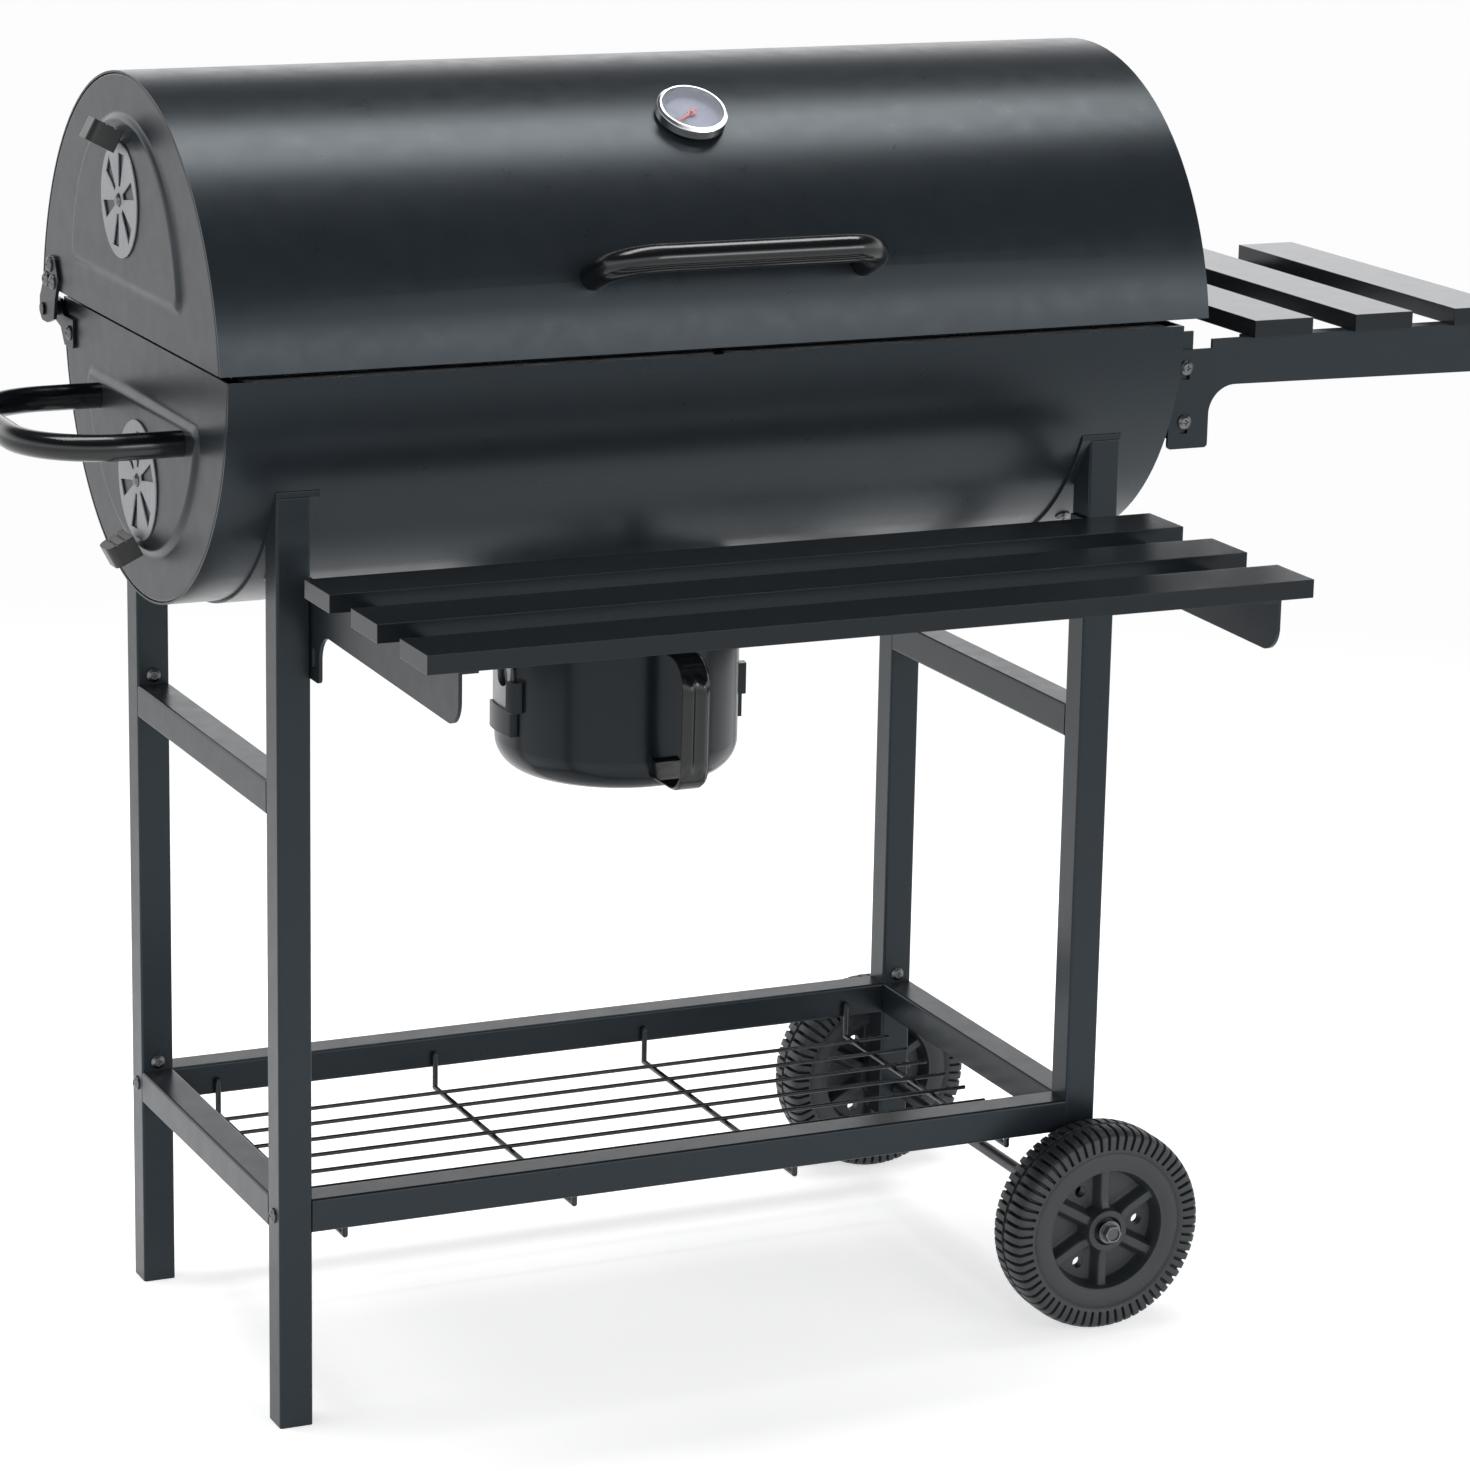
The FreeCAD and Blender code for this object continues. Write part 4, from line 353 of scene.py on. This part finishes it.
def cut_holes(piece, cutters):
    """Take closed meshes out of a piece and keep the result as its mesh."""
    for count, (points, faces) in enumerate(cutters):
        mesh = bpy.data.meshes.new("cutter")
        mesh.from_pydata([tuple(p) for p in points], [], faces)
        tidy = bmesh.new()
        tidy.from_mesh(mesh)
        bmesh.ops.recalc_face_normals(tidy, faces=tidy.faces)
        tidy.to_mesh(mesh)
        tidy.free()
        tool = bpy.data.objects.new("cutter", mesh)
        SCENE.collection.objects.link(tool)
        cutter = piece.modifiers.new("hole_%d" % count, "BOOLEAN")
        cutter.object = tool
        cutter.solver = "EXACT"
        bpy.context.view_layer.update()
        graph = bpy.context.evaluated_depsgraph_get()
        result = bpy.data.meshes.new_from_object(piece.evaluated_get(graph))
        piece.modifiers.clear()
        piece.data = result
        bpy.data.objects.remove(tool)
        bpy.data.meshes.remove(mesh)


def prism(outline, start, end, axis):
    """A closed prism from a flat outline (two coordinates) between two values along the third axis."""
    def point(a, b, c):
        return (c, a, b) if axis == "X" else (a, c, b)
    n = len(outline)
    points = [point(a, b, start) for a, b in outline] + [point(a, b, end) for a, b in outline]
    faces = [tuple(range(n)), tuple(range(n, 2 * n))]
    faces += [(k, (k + 1) % n, n + (k + 1) % n, n + k) for k in range(n)]
    return points, faces


def circle(a, b, radius, count=28):
    return [(a + radius * math.cos(math.tau * k / count), b + radius * math.sin(math.tau * k / count))
            for k in range(count)]


# ---------------------------------------------------------------- wheels

LUGS = 64
LUG_STEPS = (0.0, 0.0, 0.0, 0.0, 0.0, 0.0, 1.0, 1.0)
# Rings of points from the bore to the tread, in millimetres, closer together where the face steps.
FACE_RADII = (5.3, 7, 8.5, 9.6, 10.4, 11.4, 13, 15, 16, 16.6, 17.3, 18.2, 19.5, 22, 25, 28, 31, 34, 37, 40,
              42, 43.5, 44.3, 45, 45.8, 46.6, 47.4, 48.5, 50, 53, 57, 60, 61, 61.5, 62, 63, 65, 65.6, 68,
              71, 74)
# Radius and distance from the middle plane, round the shoulder to the groove in the middle of the tread.
SHOULDER = ((76.0, 20.2), (77.6, 18.6), (78.8, 16.0), (79.5, 13.0), (79.9, 10.0), (80.0, 7.0), (80.0, 4.0),
            (80.0, 2.2), (80.0, 1.6), (79.0, 1.5), (77.2, 1.4), (76.9, 0.7))
LUG_DEPTH = 4.0
FACE_GROOVE = 3.2
HOLE_CIRCLE = 0.033
HOLE_RADIUS = 0.0045


def wheel_height(radius, angle):
    """How far the wheel's face stands out from its middle plane, in millimetres."""
    spoke = abs(math.sin(angle % math.radians(60) - math.radians(30))) * radius
    web = 4.0
    arm = 13.5 + 2.0 * smooth_step(24, 17, radius)
    spoke_height = web + (arm - web) * smooth_step(7.6, 2.6, spoke)
    wall = web + (18.0 - web) * smooth_step(43.5, 47.5, radius)
    cavity = max(spoke_height, wall)
    hub = 19.5 * smooth_step(18.5, 16.0, radius) - 5.0 * smooth_step(11.5, 9.5, radius)
    height = max(cavity, hub) if radius > 14 else hub
    ring = 18.0 + 1.6 * smooth_step(48, 54, radius) - 0.9 * math.exp(-((radius - 61.5) / 0.8) ** 2)
    return height if radius < 48 else ring + 1.4 * smooth_step(61, 67, radius)


def wheel_piece(node, body):
    """A moulded wheel: ribbed tread whose lugs wrap on to the face, dished rim, six soft spokes and a hub."""
    centre = middle(node)
    low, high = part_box(node)
    half = (high.y - low.y) / 2 * 1000
    outer = (high.z - low.z) / 2 * 1000
    count = LUGS * len(LUG_STEPS)
    rows = []
    for side in (1, -1):
        section = []
        for radius in FACE_RADII:
            section.append((radius, None, FACE_GROOVE * smooth_step(64.9, 65.5, radius)))
        for radius, height in SHOULDER:
            depth = LUG_DEPTH if height > 2.0 else 0.0
            section.append((radius, height, depth))
        rings = []
        for radius, height, depth in section:
            row = []
            for k in range(count):
                angle = math.tau * k / count
                groove = LUG_STEPS[(k + (0 if side > 0 else len(LUG_STEPS) // 2)) % len(LUG_STEPS)] * depth
                if height is None:
                    y = min(wheel_height(radius, angle), half) - groove
                    r = radius
                else:
                    lean = smooth_step(76.0, 79.6, radius)
                    y = min(height, half) - groove * (1 - lean)
                    r = min(radius, outer) - groove * lean
                row.append((centre.x + r * math.cos(angle) / 1000, centre.y + side * y / 1000,
                            centre.z + r * math.sin(angle) / 1000))
            rings.append(row)
        rows += rings if side > 0 else rings[::-1]
    points = [p for row in rows for p in row]
    faces = grid_faces(len(rows), count, True, True)
    piece = surface(body + "_moulding", points, faces, "wheel_plastic", body, (node,))
    holes = []
    for a in (0, math.tau / 3, 2 * math.tau / 3):
        x = centre.x + HOLE_CIRCLE * math.cos(a)
        z = centre.z - HOLE_CIRCLE * math.sin(a)
        outline = circle(x, z, HOLE_RADIUS)
        holes.append(prism(outline, low.y - 0.01, high.y + 0.01, "Y"))
    cut_holes(piece, holes)


wheel_piece("front_wheel", "wheel_front")
wheel_piece("back_wheel", "wheel_back")


# ---------------------------------------------------------------- barrel ends

SHEET = 1.5
FOLD = 2.2
FLANGE = 13.0
PRESS_HEIGHT = 3.0
PRESS_SLOPE = 6.0
PRESS_CORNER = 14.0
VENT_SLOT_IN = 10
VENT_SLOT_WIDTH = 13.8
VENT_CUT = 15


def press_height(y, z, radius, middle_z, chord, upper):
    """Height of the raised D above the flat of an end panel, in millimetres."""
    outside = math.hypot(y, z - middle_z) - radius
    beyond = (chord - z) if upper else (z - chord)
    a, b = outside + PRESS_CORNER, beyond + PRESS_CORNER
    edge = (math.hypot(a, b) if a > 0 and b > 0 else max(a, b)) - PRESS_CORNER
    return PRESS_HEIGHT * smooth_step(0.0, PRESS_SLOPE, -edge)


def wedge_holes(middle_y, middle_z, reach, start, end):
    """Six wedge-shaped cutters round a vent's centre, in the turn that its disc covers when shut."""
    cutters = []
    for k in range(6):
        a = math.radians(k * 60 + 90)
        outline = []
        inner_width = 138 / reach
        for u, v in ((VENT_SLOT_IN, 0), (reach, 0), (reach, VENT_SLOT_WIDTH), (VENT_SLOT_IN, inner_width)):
            outline.append(((middle_y + u * math.sin(a) + v * math.cos(a)) / 1000,
                            (middle_z - u * math.cos(a) + v * math.sin(a)) / 1000))
        cutters.append(prism(outline, start / 1000, end / 1000, "X"))
    return cutters


def end_piece(node, body, slot, side, upper, half, radius, axis_z, limit, press, vent=None):
    """A pressed barrel end: soft raised D, rounded rim folded into a flange, and vent openings."""
    turn = 1 if upper else -1
    first = math.asin(abs(limit - axis_z) / (radius - FOLD))
    last = math.radians(89.9)
    rows, columns = 110, 180
    folds = [math.radians(a) for a in (15, 30, 45, 60, 75, 90)]
    points = {}
    for layer, inset in (("out", 0.0), ("in", SHEET)):
        table = []
        for i in range(rows + 1):
            phi = first + (last - first) * i / rows
            flat = radius - FOLD
            z = axis_z + turn * flat * math.sin(phi)
            row = []
            centre_row = []
            for j in range(columns + 1):
                y = (2 * j / columns - 1) * flat * math.cos(phi)
                h = press_height(y, z, press[0], press[1], press[2], upper)
                centre_row.append((side * (half + h - inset), y, z))
            for sign in (-1, 1):
                fold = []
                for a in folds:
                    out = flat + (FOLD - inset) * math.sin(a)
                    back = FOLD - (FOLD - inset) * math.cos(a)
                    fold.append((side * (half - back), sign * out * math.cos(phi),
                                 axis_z + turn * out * math.sin(phi)))
                out = radius - inset
                fold.append((side * (half - FLANGE), sign * out * math.cos(phi),
                             axis_z + turn * out * math.sin(phi)))
                row.append(fold)
            table.append(row[0][::-1] + centre_row + row[1])
        points[layer] = table
    wide = len(points["out"][0])
    tall = rows + 1
    metres = [tuple(c / 1000 for c in p) for layer in ("out", "in") for row in points[layer] for p in row]
    step = wide * tall
    faces = grid_faces(tall, wide)
    faces += [tuple(step + k for k in face[::-1]) for face in faces]
    for j in range(wide - 1):
        for i in (0, tall - 1):
            faces.append((i * wide + j, i * wide + j + 1, step + i * wide + j + 1, step + i * wide + j))
    for i in range(tall - 1):
        for j in (0, wide - 1):
            faces.append((i * wide + j, (i + 1) * wide + j, step + (i + 1) * wide + j, step + i * wide + j))
    piece = surface(node + "_pressed", metres, faces, slot, body, (node,))
    if vent:
        cut_holes(piece, wedge_holes(*vent, side * half - VENT_CUT, side * half + VENT_CUT))


# Half length, radius, height of the axis and height of the edge.
LID_END = (381, 206.5, 752, 779)
TUB_END = (370, 188.5, 771, 771)
# Radius, centre height and straight edge's height of the raised D.
LID_PRESS = (128, 804, 808)
TUB_PRESS_LEFT = (133, 747, 730)
TUB_PRESS_RIGHT = (121, 747, 730)
# Centre along the end, centre height and outer radius of the slots.
LID_VENT = (2.0, 870.0, 33.5)
TUB_VENT = (2.0, 668.0, 36.0)

end_piece("lid_end_left", "lid", "lid_paint", -1, True, *LID_END, LID_PRESS, LID_VENT)
end_piece("lid_end_right", "lid", "lid_paint", 1, True, *LID_END, LID_PRESS)
end_piece("tub_end_left", "stand", "tub_paint", -1, False, *TUB_END, TUB_PRESS_LEFT, TUB_VENT)
end_piece("tub_end_right", "stand", "tub_paint", 1, False, *TUB_END, TUB_PRESS_RIGHT)


def charcoal_ledge(side, word):
    """A small angle inside a tub end, under the charcoal grate."""
    x = side * 0.3685
    angle = [(x, 0.618), (x - side * 0.002, 0.618), (x - side * 0.002, 0.630), (x - side * 0.030, 0.630),
             (x - side * 0.030, 0.632), (x, 0.632)]
    surface("charcoal_ledge_" + word, *prism(angle, -0.1, 0.1, "Y"), "tub_paint", "stand", smooth=False)


charcoal_ledge(-1, "left")
charcoal_ledge(1, "right")


# ---------------------------------------------------------------- ash cup handle

def rounded_path(corners, steps=10):
    """A flat path through corners (a, b, radius), with arcs in place of the sharp turns."""
    path = []
    for k, (a, b, radius) in enumerate(corners):
        here = Vector((a, b))
        if radius == 0:
            path.append(here)
            continue
        back = (Vector(corners[k - 1][:2]) - here).normalized()
        ahead = (Vector(corners[k + 1][:2]) - here).normalized()
        spread = back.angle(ahead) / 2
        reach = radius / math.tan(spread)
        centre = here + (back + ahead).normalized() * radius / math.sin(spread)
        start, end = here + back * reach - centre, here + ahead * reach - centre
        sweep = start.angle_signed(end)
        for n in range(steps + 1):
            turn = Matrix.Rotation(-sweep * n / steps, 2)
            path.append(centre + turn @ start)
    return path


def rib_wave(x):
    """Height of the two ribs across the strap, from 0 to 1."""
    return 0.5 + 0.5 * math.cos(math.tau * (abs(x) - 5.0) / 9.0) if abs(x) < 9.5 else 0.0


def cup_handle():
    """The pressed strap of the ash cup: rolled edges, two raised ribs along the grip, and a foot."""
    path = rounded_path([(-89, 539, 0), (-150, 538, 24), (-148, 437, 22), (-89, 437.5, 0)])
    line = [path[0]]
    for p, q in zip(path, path[1:]):
        pieces = max(1, int((q - p).length / 3))
        line += [p + (q - p) * n / pieces for n in range(1, pieces + 1)]
    width = 11.0
    section = [-width + 2 * width * n / 32 for n in range(33)]
    points = []
    for k, p in enumerate(line):
        ahead = (line[min(k + 1, len(line) - 1)] - line[max(k - 1, 0)]).normalized()
        out = Vector((ahead.y, -ahead.x))
        if k and out.dot(previous) < 0:
            out = -out
        previous = out
        grip = smooth_step(447, 462, p.y) * smooth_step(531, 516, p.y) if p.x < -130 else 0.0
        for x in section:
            rim = 1.4 * smooth_step(width - 2.4, width - 0.6, abs(x))
            point = p + out * (0.6 + grip * 2.1 * rib_wave(x) - rim)
            points.append((x / 1000, point.x / 1000, point.y / 1000))
        for x in reversed(section):
            rim = 1.4 * smooth_step(width - 2.4, width - 0.6, abs(x))
            point = p + out * (grip * 1.7 * rib_wave(x) - 0.6 - rim)
            points.append((x / 1000, point.x / 1000, point.y / 1000))
    loop = 2 * len(section)
    faces = grid_faces(len(line), loop, False, True)
    faces += [tuple(range(loop)), tuple(range((len(line) - 1) * loop, len(line) * loop))]
    surface("cup_handle_strap", points, faces, "cup_handle_paint", "cup", ("cup_handle",))
    foot = [(-0.1035, 0.4375), (-0.0885, 0.4375), (-0.0905, 0.4525), (-0.0985, 0.4505)]
    foot_points, foot_faces = prism(foot, -0.0105, 0.0105, "X")
    surface("cup_handle_foot", foot_points, foot_faces, "cup_handle_paint", "cup", smooth=False)


cup_handle()


# ---------------------------------------------------------------- thermometer dial

DIAL_TILT = math.radians(32.5)
DIAL_ANGLE = math.radians(57.5)
DIAL_TURN = Matrix.Rotation(DIAL_TILT, 4, "X")
DIAL_AT = Vector((0.003, -0.208 * math.cos(DIAL_ANGLE), 0.752 + 0.208 * math.sin(DIAL_ANGLE)))
SCALE_START = 230
SCALE_SWEEP = 280
STROKE_HEIGHT = 4.16
FIGURE_HEIGHT = 4.18
FIGURE_RADIUS = 11.4
FIGURE_STEP = 50


def on_dial(x, y, height):
    """A point of the dial's own plane, in millimetres, in the row frame."""
    return DIAL_AT + DIAL_TURN @ Vector((x / 1000, y / 1000, height / 1000))


def dial_marks():
    """Printed scale: long and short strokes, a thin band outside them and figures inside."""
    points, faces = [], []

    def stroke(angle, inner, outer, width):
        ahead = Vector((math.cos(angle), math.sin(angle)))
        across = Vector((-ahead.y, ahead.x)) * width / 2
        start = len(points)
        near, far = ahead * inner, ahead * outer
        for point in (near - across, far - across, far + across, near + across):
            points.append(on_dial(point.x, point.y, STROKE_HEIGHT))
        faces.append((start, start + 1, start + 2, start + 3))

    for n in range(33):
        angle = math.radians(SCALE_START - SCALE_SWEEP * n / 32)
        long_one = n % 4 == 0
        stroke(angle, 14.2 if long_one else 16.2, 18.6, 0.7 if long_one else 0.35)
    for n in range(140):
        low, high = (math.radians(SCALE_START - SCALE_SWEEP * k / 140) for k in (n, n + 1))
        start = len(points)
        for angle, radius in ((low, 19.4), (high, 19.4), (high, 19.9), (low, 19.9)):
            points.append(on_dial(radius * math.cos(angle), radius * math.sin(angle), STROKE_HEIGHT))
        faces.append((start, start + 1, start + 2, start + 3))
    surface("dial_strokes", points, faces, "dial_ink", "lid", smooth=False)
    for n in range(9):
        angle = math.radians(SCALE_START - SCALE_SWEEP * n / 8)
        text = bpy.data.curves.new("dial_figure_%d" % n, "FONT")
        text.body = str(n * FIGURE_STEP)
        text.size = 0.0034
        text.align_x = "CENTER"
        text.align_y = "CENTER"
        text.materials.append(MATERIALS["dial_ink"])
        figure = bpy.data.objects.new("dial_figure_%d" % n, text)
        SCENE.collection.objects.link(figure)
        spot = on_dial(FIGURE_RADIUS * math.cos(angle), FIGURE_RADIUS * math.sin(angle), FIGURE_HEIGHT)
        figure.matrix_world = Matrix.Translation(spot) @ DIAL_TURN
        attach(figure, "lid")


MATERIALS["dial_ink"] = powder_coat("dial_ink", (0.05, 0.05, 0.07), 0.5, spread=0.03)
dial_marks()
